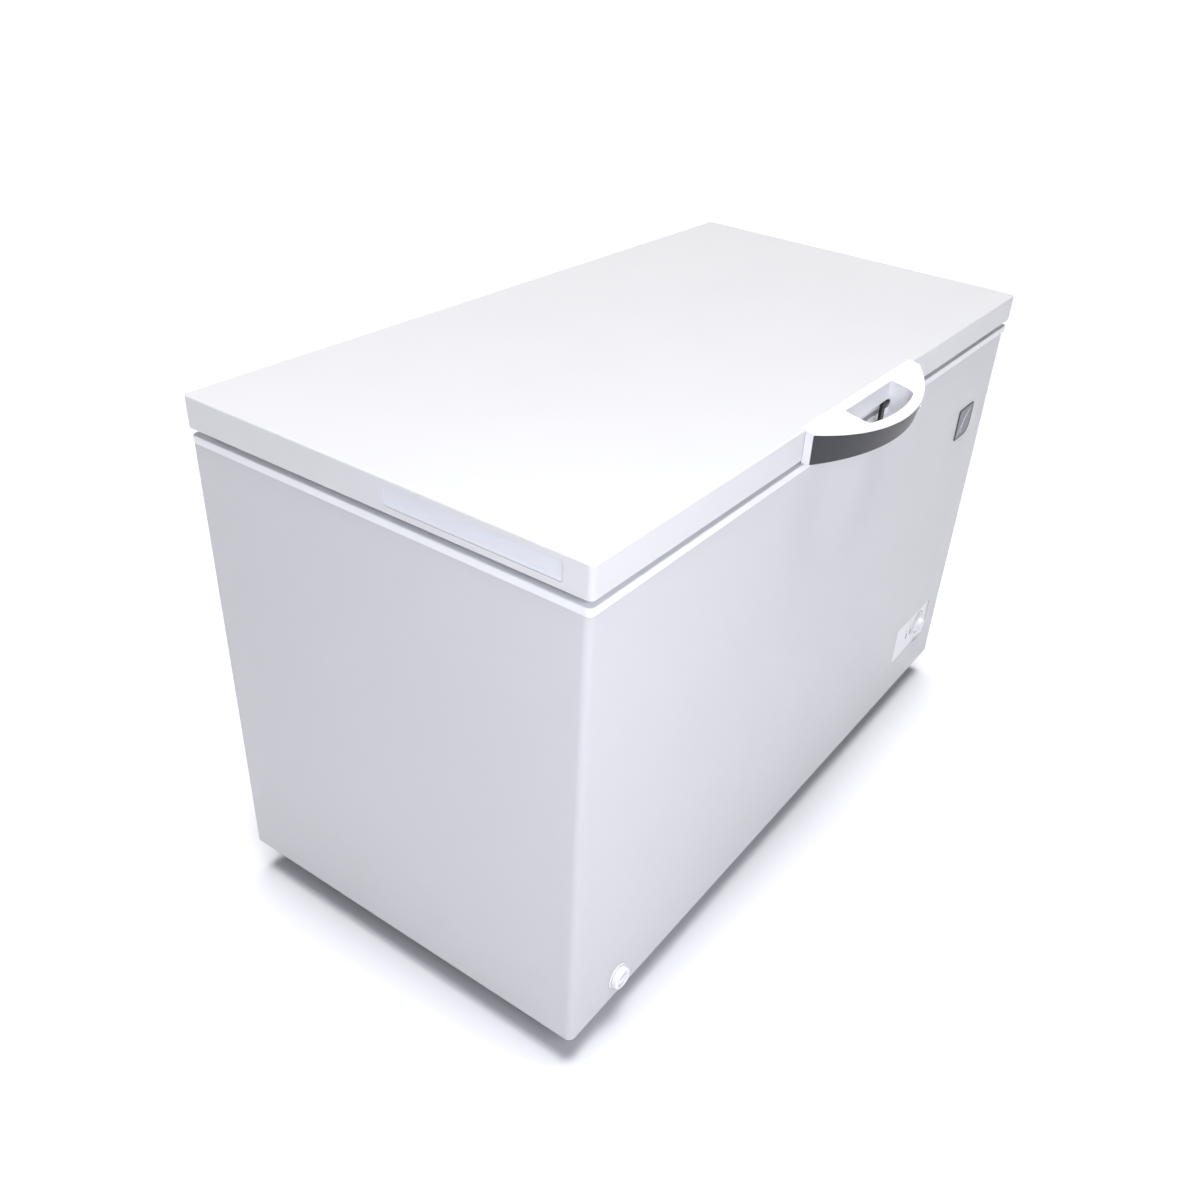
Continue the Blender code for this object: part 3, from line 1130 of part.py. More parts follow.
def caster_fork(name, x, y):
    """Bent fork with king pin and axle; the wheel trails behind the pin towards +X."""
    crown_top = RACE_BOTTOM - CLEAR
    outline = [(x - 0.015, crown_top), (x - 0.015, CROWN_BOTTOM), (x - 0.006, CROWN_BOTTOM - 0.004)]
    outline += arc((x + TRAIL, WHEEL_RADIUS), 0.0080, 190, 360, 7)
    outline += [(x + TRAIL + 0.0065, CROWN_BOTTOM - 0.006), (x + 0.015, CROWN_BOTTOM), (x + 0.015, crown_top)]
    half = 0.0120
    fork = place(name, prism(outline, "Y", y - half, y + half), ZINC)
    gap = half - 0.0020
    low = (x - 0.05, y - gap, -0.01)
    high = (x + 0.05, y + gap, CROWN_BOTTOM)
    cut(fork, place("cut_" + name, box(low, high)))
    axle = rod((x + TRAIL, y + half + 0.001, WHEEL_RADIUS), 2 * (half + 0.001), AXLE, "Y", 16)
    weld(fork, place(f"weld_{name}_axle", axle))
    pin = rod((x, y, crown_top - 0.001), 0.0060, 0.0050, "Z", 16)
    weld(fork, place(f"weld_{name}_pin", pin))
    return fork


def caster_wheel(name, x, y):
    """Grey wheel with a round-edged tread and a plain bore."""
    half, bore = WHEEL_WIDTH / 2, AXLE + CLEAR
    profile = [(WHEEL_RADIUS - 0.003, half), (WHEEL_RADIUS, half - 0.003), (WHEEL_RADIUS, -half + 0.003)]
    profile += [(WHEEL_RADIUS - 0.003, -half), (bore, -half), (bore, half)]
    spot = (x + TRAIL, y, WHEEL_RADIUS)
    return turned(name, profile, spot, "Y", TYRE, 24, closed=True)


def casters():
    """Four swivel casters under the cabinet corners."""
    for place_name, (x, y) in CASTER_SPOTS.items():
        caster_plate(f"caster_plate_{place_name}", x, y)
        fork = caster_fork(f"caster_fork_{place_name}", x, y)
        wheel = caster_wheel(f"caster_wheel_{place_name}", x, y)
        swivel = joint_empty(f"swivel_{place_name}", (x, y, RACE_BOTTOM))
        ride(fork, swivel)
        ride(wheel, swivel)


def cord_gland():
    """Rubber-lined inlet in the rear cover where the mains cord enters."""
    tall = 0.0060
    profile = [(0.0050, tall), (0.0110, tall), (0.0110, 0.0020), (0.0080, 0.0), (0.0050, 0.0)]
    centre = (0.600, PANEL_BACK + CLEAR + tall, REAR_Z[1] + 0.040)
    turned("cord_gland", profile, centre, "Y", BLACK_PLASTIC, 20, closed=True)


def hang_moving_pieces():
    """Puts the lid on its hinge axis, the lock cam on the barrel's axis, and the basket on its slide."""
    lid = joint_empty("lid_axis", (0.0, PIVOT_Y, PIVOT_Z))
    for piece in PARTS.objects:
        if piece.name.startswith(("lid_", "handle_", "lock_barrel", "hinge_lid_")) and piece is not lid:
            ride(piece, lid)
    cam_axis = joint_empty("lock_cam_axis", (LOCK_X, LID_FRONT, LOCK_Z))
    ride(cam_axis, lid)
    ride(bpy.data.objects["lock_cam"], cam_axis)
    slide = joint_empty("basket_axis", ((BASKET_X[0] + BASKET_X[1]) / 2, 0.0, LEDGE_Z))
    ride(bpy.data.objects["wire_basket"], slide)


# ---- assembly ------------------------------------------------------------------------
outer_wrapper()
back_panel()
base_pan()
inner_liner()
liner_floor()
body_foam()
evaporator_tube()
condenser_tube()
top_collar()
compartment_shell()
compressor_cover()
side_vent_grille()
compressor()
compressor_mount_plate()
start_relay_box()
compartment_pipes()
control_panel()
indicator_lamps()
thermostat_body()
thermostat_knob()
drain_fittings()
badge_plate()
lid_outer_panel()
lid_side_inserts()
lid_foam()
lid_inner_panel()
lid_gasket()
handle_body()
handle_fascia()
lock()
hinges()
wire_basket()
casters()
cord_gland()
hang_moving_pieces()
bpy.context.view_layer.update()
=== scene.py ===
"""Chest freezer: the finished surfaces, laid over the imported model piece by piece."""
from math import asin, cos, pi, radians, sin, tan

import bmesh
import bpy
import numpy as np
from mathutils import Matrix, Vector


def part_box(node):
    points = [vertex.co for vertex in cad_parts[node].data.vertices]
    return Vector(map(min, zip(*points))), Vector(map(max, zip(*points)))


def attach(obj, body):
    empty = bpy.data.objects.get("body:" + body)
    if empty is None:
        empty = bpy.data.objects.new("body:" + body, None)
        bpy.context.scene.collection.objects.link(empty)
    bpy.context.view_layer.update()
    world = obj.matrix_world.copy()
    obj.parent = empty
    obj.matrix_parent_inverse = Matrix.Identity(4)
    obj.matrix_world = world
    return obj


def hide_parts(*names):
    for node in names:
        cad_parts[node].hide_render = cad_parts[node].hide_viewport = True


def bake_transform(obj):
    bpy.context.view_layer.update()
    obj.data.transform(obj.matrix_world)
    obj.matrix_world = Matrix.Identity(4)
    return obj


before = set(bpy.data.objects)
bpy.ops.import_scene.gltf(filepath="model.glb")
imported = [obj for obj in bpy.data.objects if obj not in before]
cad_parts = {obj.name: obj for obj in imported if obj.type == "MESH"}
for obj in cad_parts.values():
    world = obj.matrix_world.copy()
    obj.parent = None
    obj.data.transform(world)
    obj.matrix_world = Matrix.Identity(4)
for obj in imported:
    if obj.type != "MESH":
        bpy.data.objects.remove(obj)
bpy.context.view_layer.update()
MM = 0.001

# ---- Studio -------------------------------------------------------------------------
# The freezer stands on a plain pale floor, looked down on from its front left corner.
# A wide soft lamp overhead bleaches the lid, and a second one lifts the near corner.
lens = bpy.data.cameras.new("camera")
lens.lens = 34.3626
lens.sensor_width = 36.0
lens.shift_x, lens.shift_y = -0.04477, 0.02212
camera = bpy.data.objects.new("camera", lens)
camera.location = (-1.47721, -0.89742, 1.44832)
camera.rotation_euler = (radians(56.5176), radians(-3.9896), radians(-55.7302))
bpy.context.scene.collection.objects.link(camera)
bpy.context.scene.camera = camera
bpy.context.scene.view_settings.view_transform = "Standard"


def srgb(code):
    """Turns an sRGB hex colour into the linear colour that the shaders use."""
    steps = [int(code[i:i + 2], 16) / 255 for i in (1, 3, 5)]
    return (*[s / 12.92 if s <= 0.04045 else ((s + 0.055) / 1.055) ** 2.4 for s in steps], 1.0)


def add(tree, kind, inputs=None, **settings):
    """Adds one shader node: its settings, then each input as a value or as a link from a socket."""
    made = tree.nodes.new(kind)
    for name, value in settings.items():
        setattr(made, name, value)
    for name, value in (inputs or {}).items():
        if isinstance(value, bpy.types.NodeSocket):
            tree.links.new(value, made.inputs[name])
        else:
            made.inputs[name].default_value = value
    return made


def finish(name, colour, roughness, metallic=0.0, **inputs):
    """Starts a material; gives back the material, its tree, its shader and its Object coordinates."""
    made = bpy.data.materials.new(name)
    made.use_nodes = True
    tree = made.node_tree
    shader = tree.nodes["Principled BSDF"]
    shader.inputs["Base Color"].default_value = srgb(colour)
    shader.inputs["Roughness"].default_value = roughness
    shader.inputs["Metallic"].default_value = metallic
    for key, value in inputs.items():
        shader.inputs[key.replace("_", " ")].default_value = value
    place = add(tree, "ShaderNodeTexCoord").outputs["Object"]
    return made, tree, shader, place


def noise(tree, place, scale, detail=2.0):
    """Cloudy values round a half, with `scale` lumps to the metre."""
    return add(tree, "ShaderNodeTexNoise", {"Vector": place, "Scale": scale, "Detail": detail}).outputs["Fac"]


def ranged(tree, value, low, high, first=0.0, last=1.0):
    """Stretches the values from `first` to `last` over the range from `low` to `high`."""
    return add(tree, "ShaderNodeMapRange", {"Value": value, "From Min": first, "From Max": last,
                                            "To Min": low, "To Max": high}).outputs[0]


def mixed(tree, share, one, other):
    """Goes from one colour to another; each is a hex code or a socket."""
    one, other = [srgb(colour) if isinstance(colour, str) else colour for colour in (one, other)]
    return add(tree, "ShaderNodeMix", {0: share, 6: one, 7: other}, data_type="RGBA").outputs[2]


def tint(tree, shader, share, one, other):
    """Colours the shader between two tones."""
    tree.links.new(mixed(tree, share, one, other), shader.inputs["Base Color"])


def lamp(name, kind, colour, power, **settings):
    """Adds one lamp; its settings go on the lamp's data."""
    data = bpy.data.lights.new(name, kind)
    data.color = srgb(colour)[:3]
    data.energy = power
    for key, value in settings.items():
        setattr(data, key, value)
    made = bpy.data.objects.new(name, data)
    bpy.context.scene.collection.objects.link(made)
    return made


lamp("overhead_softbox", "SUN", "#FFFFFF", 4.3, angle=radians(34)).rotation_euler = (0, radians(1), 0)
corner_lamp = lamp("corner_lamp", "AREA", "#F4F6FF", 20, shape="SQUARE", size=0.9)
corner_lamp.location = (-1.35, -1.35, 1.45)
aim = Vector((-0.55, -0.2, 0.6)) - corner_lamp.location
corner_lamp.rotation_euler = aim.to_track_quat("-Z", "Y").to_euler()

world = bpy.data.worlds.new("studio")
bpy.context.scene.world = world
world.use_nodes = True
sky = world.node_tree
sky.nodes["Background"].inputs["Color"].default_value = srgb("#F5F5F9")
way = add(sky, "ShaderNodeTexCoord").outputs["Generated"]
height = add(sky, "ShaderNodeSeparateXYZ", {0: way}).outputs["Z"]
sky.links.new(ranged(sky, height, 0.52, 0.10, 0.10, 0.34), sky.nodes["Background"].inputs["Strength"])

floor_paint, tree, shader, place = finish("pale_studio_floor", "#E3E3E7", 0.85)
tint(tree, shader, noise(tree, place, 1.5), "#E4E4E8", "#E1E1E6")
FLOOR_HALF = 40.0
floor_mesh = bpy.data.meshes.new("floor")
corners = [(x * FLOOR_HALF, y * FLOOR_HALF, 0) for x, y in ((-1, -1), (1, -1), (1, 1), (-1, 1))]
floor_mesh.from_pydata(corners, [], [(0, 1, 2, 3)])
floor_mesh.materials.append(floor_paint)
floor = bpy.data.objects.new("floor", floor_mesh)
bpy.context.scene.collection.objects.link(floor)

# ---- Cabinet wrapper ----------------------------------------------------------------
# One length of pre-painted steel sheet, folded round the left side, the front and the
# right side. Its lower edge is hemmed under and its rear edges are flanged inwards.
# White polyester enamel: a satin sheen, a faint orange peel, a little grime low down.


def emboss(tree, shader, height, strength, depth):
    """Presses heights into the surface as a bump `depth` millimetres deep."""
    bump = add(tree, "ShaderNodeBump", {"Height": height, "Strength": strength, "Distance": depth * MM})
    tree.links.new(bump.outputs["Normal"], shader.inputs["Normal"])


def grain(tree, shader, place, size, strength, depth):
    """Noise bump whose lumps measure `size` millimetres; `depth` is in millimetres too."""
    emboss(tree, shader, noise(tree, place, 1000 / size), strength, depth)


def enamel(name, clean, shade, grime_top):
    """White enamel: two close tones drift over 400 mm, and dust greys it below a height."""
    made, tree, shader, place = finish(name, clean, 0.34)
    height = add(tree, "ShaderNodeSeparateXYZ", {0: place}).outputs["Z"]
    low = ranged(tree, height, 1.0, 0.0, 0.055, grime_top)
    patch = ranged(tree, noise(tree, place, 18.0, 5.0), 0.0, 0.16, 0.48, 0.80)
    dirt = add(tree, "ShaderNodeMath", {0: low, 1: patch}, operation="MULTIPLY").outputs[0]
    tint(tree, shader, dirt, mixed(tree, noise(tree, place, 2.5, 3.0), clean, shade), "#BDB9AC")
    tree.links.new(ranged(tree, noise(tree, place, 7.0, 4.0), 0.29, 0.43), shader.inputs["Roughness"])
    grain(tree, shader, place, 4.0, 0.12, 0.05)
    return made


# The cabinet's copy of the enamel is a tone darker than the lid's copy further down. Both are the same paint,
# so the difference in tone is painted light.
CABINET_ENAMEL = enamel("white_cabinet_enamel", "#C6C6C9", "#C2C2C6", 0.32)


def rounded(low, high, radius, corner):
    """Plan of a rectangle with round corners, anticlockwise: a quarter circle at each corner."""
    (x0, y0), (x1, y1) = low, high
    turn = np.linspace(0, pi / 2, corner + 1)
    spots = [(x1 - radius, y1 - radius), (x0 + radius, y1 - radius),
             (x0 + radius, y0 + radius), (x1 - radius, y0 + radius)]
    arcs = [np.column_stack((x + radius * np.cos(turn + i * pi / 2), y + radius * np.sin(turn + i * pi / 2)))
            for i, (x, y) in enumerate(spots)]
    return np.concatenate(arcs)


def lift(outline, height):
    """Gives a plan outline its height."""
    return np.column_stack((outline, np.full(len(outline), height)))


def level(low, high, inset, radius, corner, height):
    """Rounded rectangle between two corners, drawn in by an amount, at a height."""
    inner_low, inner_high = (low[0] + inset, low[1] + inset), (high[0] - inset, high[1] - inset)
    return lift(rounded(inner_low, inner_high, radius, corner), height)


def mm(*rows):
    """Numbers, or rows of numbers, that are given in millimetres."""
    return np.array(rows) * MM


def centre(low, high):
    """Middle of a box."""
    return [(a + b) / 2 for a, b in zip(low, high)]


def shell(loops, caps=True, wrap=False, open_side=False):
    """Skin over a stack of outlines with equal counts: row i, column j meets the next of each.
    caps close the first and last outline, wrap joins the last to the first instead."""
    loops = np.asarray(loops, float)
    rows, count = loops.shape[:2]
    i, j = np.meshgrid(np.arange(rows if wrap else rows - 1), np.arange(count - 1 if open_side else count),
                       indexing="ij")
    after, above = (j + 1) % count, (i + 1) % rows
    faces = np.stack((i * count + j, i * count + after, above * count + after, above * count + j), -1)
    faces = faces.reshape(-1, 4).tolist()
    if caps and not wrap:
        faces.append(list(range(count))[::-1])
        faces.append(list(range((rows - 1) * count, rows * count)))
    return loops.reshape(-1, 3), faces


def joined(*shapes):
    """Several shapes as one."""
    points, faces, start = [], [], 0
    for spots, sides in shapes:
        points.append(spots)
        faces += [[corner + start for corner in side] for side in sides]
        start += len(spots)
    return np.concatenate(points), faces


def mesh_of(name, shape):
    """Mesh data from points and faces, with doubled points merged and faces turned outwards."""
    mesh = bpy.data.meshes.new(name)
    mesh.from_pydata(np.asarray(shape[0]).tolist(), [], shape[1])
    bm = bmesh.new()
    bm.from_mesh(mesh)
    bmesh.ops.remove_doubles(bm, verts=bm.verts, dist=2e-6)
    bmesh.ops.recalc_face_normals(bm, faces=bm.faces)
    bm.to_mesh(mesh)
    bm.free()
    return mesh


def carved(shape, cutters, wall=0.0, operation="DIFFERENCE"):
    """A shape after its sheet thickness is given and the cutters are taken out of it."""
    scene = bpy.context.scene.collection
    if wall:
        blank = bpy.data.meshes.new("blank")
        blank.from_pydata(np.asarray(shape[0]).tolist(), [], shape[1])
    else:
        blank = mesh_of("blank", shape)
    block = bpy.data.objects.new("block", blank)
    tools = [bpy.data.objects.new("tool", mesh_of("tool", cutter)) for cutter in cutters]
    for made in (block, *tools):
        scene.objects.link(made)
    if wall:
        sheet = block.modifiers.new("sheet", "SOLIDIFY")
        sheet.thickness, sheet.offset, sheet.use_even_offset = wall, -1.0, True
    for tool in tools:
        boolean = block.modifiers.new("cut", "BOOLEAN")
        boolean.operation, boolean.object = operation, tool
    result = bpy.data.meshes.new_from_object(block.evaluated_get(bpy.context.evaluated_depsgraph_get()))
    bm = bmesh.new()
    bm.from_mesh(result)
    bmesh.ops.triangulate(bm, faces=[side for side in bm.faces if len(side.verts) > 4])
    bm.verts.index_update()
    points = [tuple(spot.co) for spot in bm.verts]
    faces = [[spot.index for spot in side.verts] for side in bm.faces]
    bm.free()
    for made in (block, *tools):
        bpy.data.objects.remove(made)
    return np.array(points), faces


def soften(made, width, sharp):
    """Bevels the edges that fold by more than an angle."""
    edge = made.modifiers.new("edge", "BEVEL")
    edge.width, edge.segments, edge.limit_method = width, 2, "ANGLE"
    edge.angle_limit = radians(sharp)
    edge.use_clamp_overlap = True


def piece(name, shape, material, body, replaces=(), bevel=0.0, sharp=35):
    """A finished piece: smooth faces with crisp folds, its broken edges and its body."""
    made = bpy.data.objects.new(name, mesh_of(name, shape))
    made.data.materials.append(material)
    bpy.context.scene.collection.objects.link(made)
    if bevel:
        soften(made, bevel, sharp)
    made.data.shade_smooth()
    made.data.set_sharp_from_angle(angle=radians(sharp + 20 if bevel else sharp))
    even = made.modifiers.new("even", "WEIGHTED_NORMAL")
    even.keep_sharp = True
    if body:
        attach(made, body)
    if replaces:
        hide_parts(*replaces)
    return made


# Local shapes are drawn lying flat, facing up; each side of the freezer has the three
# directions that their length, width and height take when they are fixed to it.
SIDES = {"up": ((1, 0, 0), (0, 1, 0), (0, 0, 1)), "down": ((1, 0, 0), (0, -1, 0), (0, 0, -1)),
         "front": ((1, 0, 0), (0, 0, 1), (0, -1, 0)), "back": ((-1, 0, 0), (0, 0, 1), (0, 1, 0)),
         "left": ((0, -1, 0), (0, 0, 1), (-1, 0, 0)), "right": ((0, 1, 0), (0, 0, 1), (1, 0, 0))}


def facing(shape, side, origin):
    """Turns a flat-lying shape to face one side and moves it to its origin."""
    return np.asarray(shape[0]) @ np.array(SIDES[side], float) + np.array(origin), shape[1]


def slab(low, high, radius, bottom, top, edge=0.0):
    """Plate with round corners in plan and quarter-round rims of size `edge` at both faces."""
    turn = np.linspace(0, pi / 2, 4) if edge else np.zeros(1)
    inset = edge * (1 - np.sin(turn))
    rise = edge * (1 - np.cos(turn))
    insets = np.concatenate((inset, inset[::-1]))
    heights = np.concatenate((bottom + rise, top - rise[::-1]))
    smallest = 0.05 * MM
    return shell([level(low, high, d, max(radius - d, smallest), 6, z) for d, z in zip(insets, heights)])


wrap_low, wrap_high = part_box("outer_wrapper")
panel_low, panel_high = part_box("control_panel")
FLANGE_LAP = 10 * MM
WINDOW = ((panel_low.x + FLANGE_LAP - 0.3 * MM, panel_low.z + FLANGE_LAP - 0.3 * MM),
          (panel_high.x - FLANGE_LAP + 0.3 * MM, panel_high.z - FLANGE_LAP + 0.3 * MM))
drain_low, drain_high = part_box("drain_bezel")
DRAIN = centre(drain_low, drain_high)[::2]
grille_low, grille_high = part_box("side_vent_grille")


BEND = 11 * MM
FLANGE = 15 * MM


def wrapper_plan(inset, height):
    """Open plan of the wrapper drawn in by one amount: rear flange, side, front, side, flange."""
    full = level(wrap_low, wrap_high, inset, max(BEND - inset, 1 * MM), 10, height)
    front = full[22:44]                          # its two front corners, 11 points each
    back = wrap_high.y - inset
    sides = [(x, back, height) for x in (wrap_low.x + FLANGE, wrap_low.x + inset, wrap_high.x - inset,
                                         wrap_high.x - FLANGE)]
    return np.concatenate((sides[:2], front, sides[2:]))


base = wrap_low.z
rows = [(12 * MM, base + 0.1 * MM), (1.5 * MM, base), (0.5 * MM, base + 0.4 * MM), (0.0, base + 1.5 * MM),
        (0.0, wrap_high.z)]
sheet = shell([wrapper_plan(*row) for row in rows], caps=False, open_side=True)
DEEP = 20 * MM
DRAIN_HALF = 9.5 * MM
drain_hole = slab([v - DRAIN_HALF for v in DRAIN], [v + DRAIN_HALF for v in DRAIN], 9.4 * MM, -DEEP, DEEP)
grille_hole = slab(grille_low.yz, grille_high.yz, 2 * MM, -DEEP, DEEP)
openings = [facing(slab(*WINDOW, 3 * MM, -DEEP, DEEP), "front", (0, wrap_low.y, 0)),
            facing(drain_hole, "front", (0, wrap_low.y, 0)), facing(grille_hole, "right", (wrap_high.x, 0, 0))]
piece("cabinet_wrapper", carved(sheet, openings, wall=0.9 * MM), CABINET_ENAMEL, "cabinet",
      ["outer_wrapper"])

# ---- Collar -------------------------------------------------------------------------
# White ABS frame, injection moulded, snapped over the rim of wrapper and lining. Its
# outer lip shows as a light band under the lid; inside it carries the basket ledge.
# A moulding has softer edges than the sheet and a fine spark-eroded grain.


def moulding(name, colour, roughness, grain_size=1.2):
    """Moulded ABS: even colour with a slow drift of tone and a fine eroded grain."""
    made, tree, shader, place = finish(name, colour, roughness)
    cloud = noise(tree, place, 9.0, 3.0)
    tree.links.new(ranged(tree, cloud, roughness - 0.06, roughness + 0.08), shader.inputs["Roughness"])
    dull = [channel * 0.95 for channel in srgb(colour)[:3]] + [1.0]
    tint(tree, shader, cloud, colour, dull)
    grain(tree, shader, place, grain_size, 0.10, 0.03)
    return made


WHITE_ABS = moulding("white_abs", "#E6E7EA", 0.36)
collar_low, collar_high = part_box("top_collar")
lining_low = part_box("inner_liner")[0]
lid_low, lid_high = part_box("lid_outer_panel")
LINING = 0.8 * MM
OPENING = lining_low.x - collar_low.x + LINING + 2.5 * MM     # collar edge to the clear opening
LEDGE = lining_low.x - collar_low.x + LINING - 12 * MM
SEAT = wrap_high.z + 0.6 * MM
ledge_z = collar_high.z - 6 * MM


def frame_section(low, high, section):
    """Closed frame: each row of the section is (inset, height, corner radius) of one outline."""
    return shell([level(low, high, d, radius, 8, z) for d, z, radius in section], wrap=True)


rim = 1.6 * MM
turn = np.linspace(0, pi / 2, 5)
section = [(1.5 * MM, SEAT - 0.3 * MM, 6 * MM), (0.4 * MM, SEAT, 7.4 * MM), (0.0, SEAT + 0.8 * MM, 8 * MM)]
section += [(rim * (1 - cos(a)), collar_high.z - rim * (1 - sin(a)), 8 * MM - rim * (1 - cos(a)) * 0.9)
            for a in turn]
LEDGE_BEND = 24 * MM
section += [(LEDGE - inset, z, LEDGE_BEND) for inset, z in (
    (1.0 * MM, collar_high.z), (0.2 * MM, collar_high.z - 0.4 * MM), (0.0, collar_high.z - 1.2 * MM),
    (0.0, ledge_z + 0.6 * MM))]
section += [(LEDGE + 0.6 * MM, ledge_z, 23 * MM), (OPENING - 1.0 * MM, ledge_z, 16 * MM),
            (OPENING - 0.2 * MM, ledge_z - 0.5 * MM, 15.7 * MM), (OPENING, ledge_z - 1.4 * MM, 15.5 * MM),
            (OPENING, collar_low.z + 0.5 * MM, 15.5 * MM), (OPENING - 0.5 * MM, collar_low.z, 15.8 * MM),
            (OPENING - 2.0 * MM, collar_low.z, 17 * MM), (OPENING - 2.2 * MM, SEAT - 0.3 * MM, 17 * MM)]
piece("rim_collar", frame_section(collar_low, collar_high, section), WHITE_ABS, "cabinet",
      ["top_collar"])

# ---- Lid skin -----------------------------------------------------------------------
# Deep-drawn steel pan with the same white enamel, foamed solid. Its top edge is rolled
# to a 3 mm radius, its lower edge is hemmed, and the handle's flange sits in a notch.
# The lid's copy of the enamel is a tone lighter than the cabinet's, though both are the same paint: painted
# light on the lid.
LID_ENAMEL_PAINTED_LIGHTER = enamel("white_lid_enamel_painted_lighter", "#D0D0D2", "#CDCDD0", 0.056)
handle_low, handle_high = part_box("handle_body")
insert_low, insert_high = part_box("lid_side_insert_left")
INSERT_LAP = 4 * MM
INSERT_LOW = (insert_low.y + INSERT_LAP, insert_low.z + INSERT_LAP)
INSERT_HIGH = (insert_high.y - INSERT_LAP, insert_high.z - INSERT_LAP)
LID_BEND = 7.5 * MM
ROLL = 3.0 * MM
FLANGE_DEPTH = 4.3 * MM


def lid_row(inset, z):
    """One level outline of the lid, drawn in by an amount."""
    return level(lid_low, lid_high, inset, LID_BEND - inset * 0.8, 10, z)


turn = np.linspace(0, pi / 2, 7)
levels = [(3.0 * MM, lid_low.z + 0.2 * MM), (1.0 * MM, lid_low.z), (0.3 * MM, lid_low.z + 0.3 * MM),
          (0.0, lid_low.z + 1.0 * MM)]
levels += [(ROLL * (1 - cos(a)), lid_high.z - ROLL * (1 - sin(a))) for a in turn]
points, faces = shell([lid_row(*level) for level in levels])
faces.pop(-2)                                    # the pan is open below
ENDS = [("left", lid_low.x, ((-INSERT_HIGH[0], INSERT_LOW[1]), (-INSERT_LOW[0], INSERT_HIGH[1]))),
        ("right", lid_high.x, (INSERT_LOW, INSERT_HIGH))]
windows = [facing(slab(*span, 5 * MM, -10 * MM, 10 * MM), side, (x, 0, 0)) for side, x, span in ENDS]
notch = slab((handle_low.x, lid_low.y - 20 * MM), (handle_high.x, handle_high.y + 0.3 * MM), 1.5 * MM,
             lid_high.z - FLANGE_DEPTH, lid_high.z + 10 * MM)
piece("lid_skin", carved((points, faces), [*windows, notch], wall=0.9 * MM), LID_ENAMEL_PAINTED_LIGHTER, "lid",
      ["lid_outer_panel"])

# The two end inserts are shallow ABS mouldings clipped into windows in the skin: a flat
# field set back a little, with a low ridge along its lower edge that catches the light.
INSERT_ABS = moulding("insert_abs", "#D6D9DF", 0.35)


def end_insert(low, high):
    """Insert lying flat, set 1.7 mm into its window, with a ridge that slopes up to its lower edge."""
    rows = [(-4.0, -2.6), (-4.0, -1.3), (0.3, -1.3), (0.5, -1.6), (0.9, -1.7)]
    field = shell([level(low, high, d * MM, (5.0 - min(d, 3.5)) * MM, 12, z * MM) for d, z in rows])
    ridge = [((0.5, 0.5, 6.0), 3.0, -1.8), ((0.5, 0.5, 6.0), 3.0, -1.66), ((3.0, 0.8, 1.6), 0.35, -0.5)]
    foot = shell([lift(rounded((low[0] + d * MM, low[1] + v * MM), (high[0] - d * MM, low[1] + top * MM),
                               min(r, (top - v) / 2.1) * MM, 6), z * MM) for (d, v, top), r, z in ridge])
    return joined(field, foot)


for side, x, span in ENDS:
    piece("lid_insert_" + side, facing(end_insert(*span), side, (x, 0, 0)), INSERT_ABS, "lid",
          ["lid_side_insert_" + side], sharp=9)

# ---- Gasket -------------------------------------------------------------------------
# Extruded grey PVC, welded at its corners and pushed into the lid's inner edge: a magnet
# chamber below, two bellows lobes above. Matt, slightly dusty, darker in its folds.
PVC, tree, shader, place = finish("grey_gasket_pvc", "#6B6862", 0.62)
tint(tree, shader, noise(tree, place, 60.0, 4.0), "#5C5954", "#78746E")
grain(tree, shader, place, 0.8, 0.15, 0.04)
seal_low, seal_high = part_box("lid_gasket")
SEAL = 16 * MM
t = np.linspace(0.02, 0.98, 25)
fold = 2.1 * MM * np.abs(np.sin(2 * pi * t)) ** 0.7
tall = seal_high.z - seal_low.z
outer = [(2.1 * MM - d, seal_low.z + tall * s, 9 * MM) for d, s in zip(fold, t)]
inner = [(SEAL - 2.1 * MM + d, seal_low.z + tall * s, 16 * MM) for d, s in zip(fold[::-1], t[::-1])]
piece("lid_bellows_gasket", frame_section(seal_low, seal_high, outer + inner), PVC, "lid",
      ["lid_gasket"])

# ---- Lid inner face -----------------------------------------------------------------
# Vacuum-formed white sheet bonded to the foam: a flat border for the gasket, a soft
# shoulder and a shallow tray with pressed beads that stiffen it.
FORMED_ABS = moulding("formed_lid_sheet", "#E2E4E8", 0.35, 2.5)
inner_low, inner_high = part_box("lid_inner_panel")
sheet_top = inner_high.z
depth_share = (sheet_top - inner_low.z) / (10 * MM)
rows = [(0.0, 0.0, 6), (0.0, -1.0, 6), (84, -1.0, 30), (87, -1.3, 30), (90, -2.4, 30), (97, -6.6, 30),
        (101, -8.6, 30), (104, -9.6, 30), (108, -10.0, 30)]
bead = [(150, -10.0, 24), (154, -9.6, 24), (158, -8.4, 24), (162, -8.0, 24), (166, -8.4, 24), (170, -9.6, 24),
        (174, -10.0, 24)]
loops = [level(inner_low, inner_high, d * MM, r * MM, 8, sheet_top + z * MM * depth_share)
         for d, z, r in rows + bead]
piece("lid_inner_tray", shell(loops), FORMED_ABS, "lid", ["lid_inner_panel"])

# ---- Handle -------------------------------------------------------------------------
# One white ABS moulding: a bowed top with a thin lip, walls and ribs hidden under it, a
# finger opening, and a flange that laps back into the lid. Every visible edge is soft.
HANDLE_X = 177 * MM
REACH = 72.5 * MM
STRAIGHT = 12 * MM
SAG = REACH - STRAIGHT
SLOPE = tan(radians(10.4))
HANDLE_Z = handle_low.z
LEAN = 7.5 * MM
RECESS = 3.0 * MM
LIP = 2.8 * MM
TOP = lid_high.z


def bow_circle(lean):
    """Radius and centre of the bow: both ends stay put while its middle is set back by the lean."""
    sag = SAG - lean
    radius = (HANDLE_X ** 2 + sag ** 2) / (2 * sag)
    return radius, lid_low.y - REACH + lean + radius


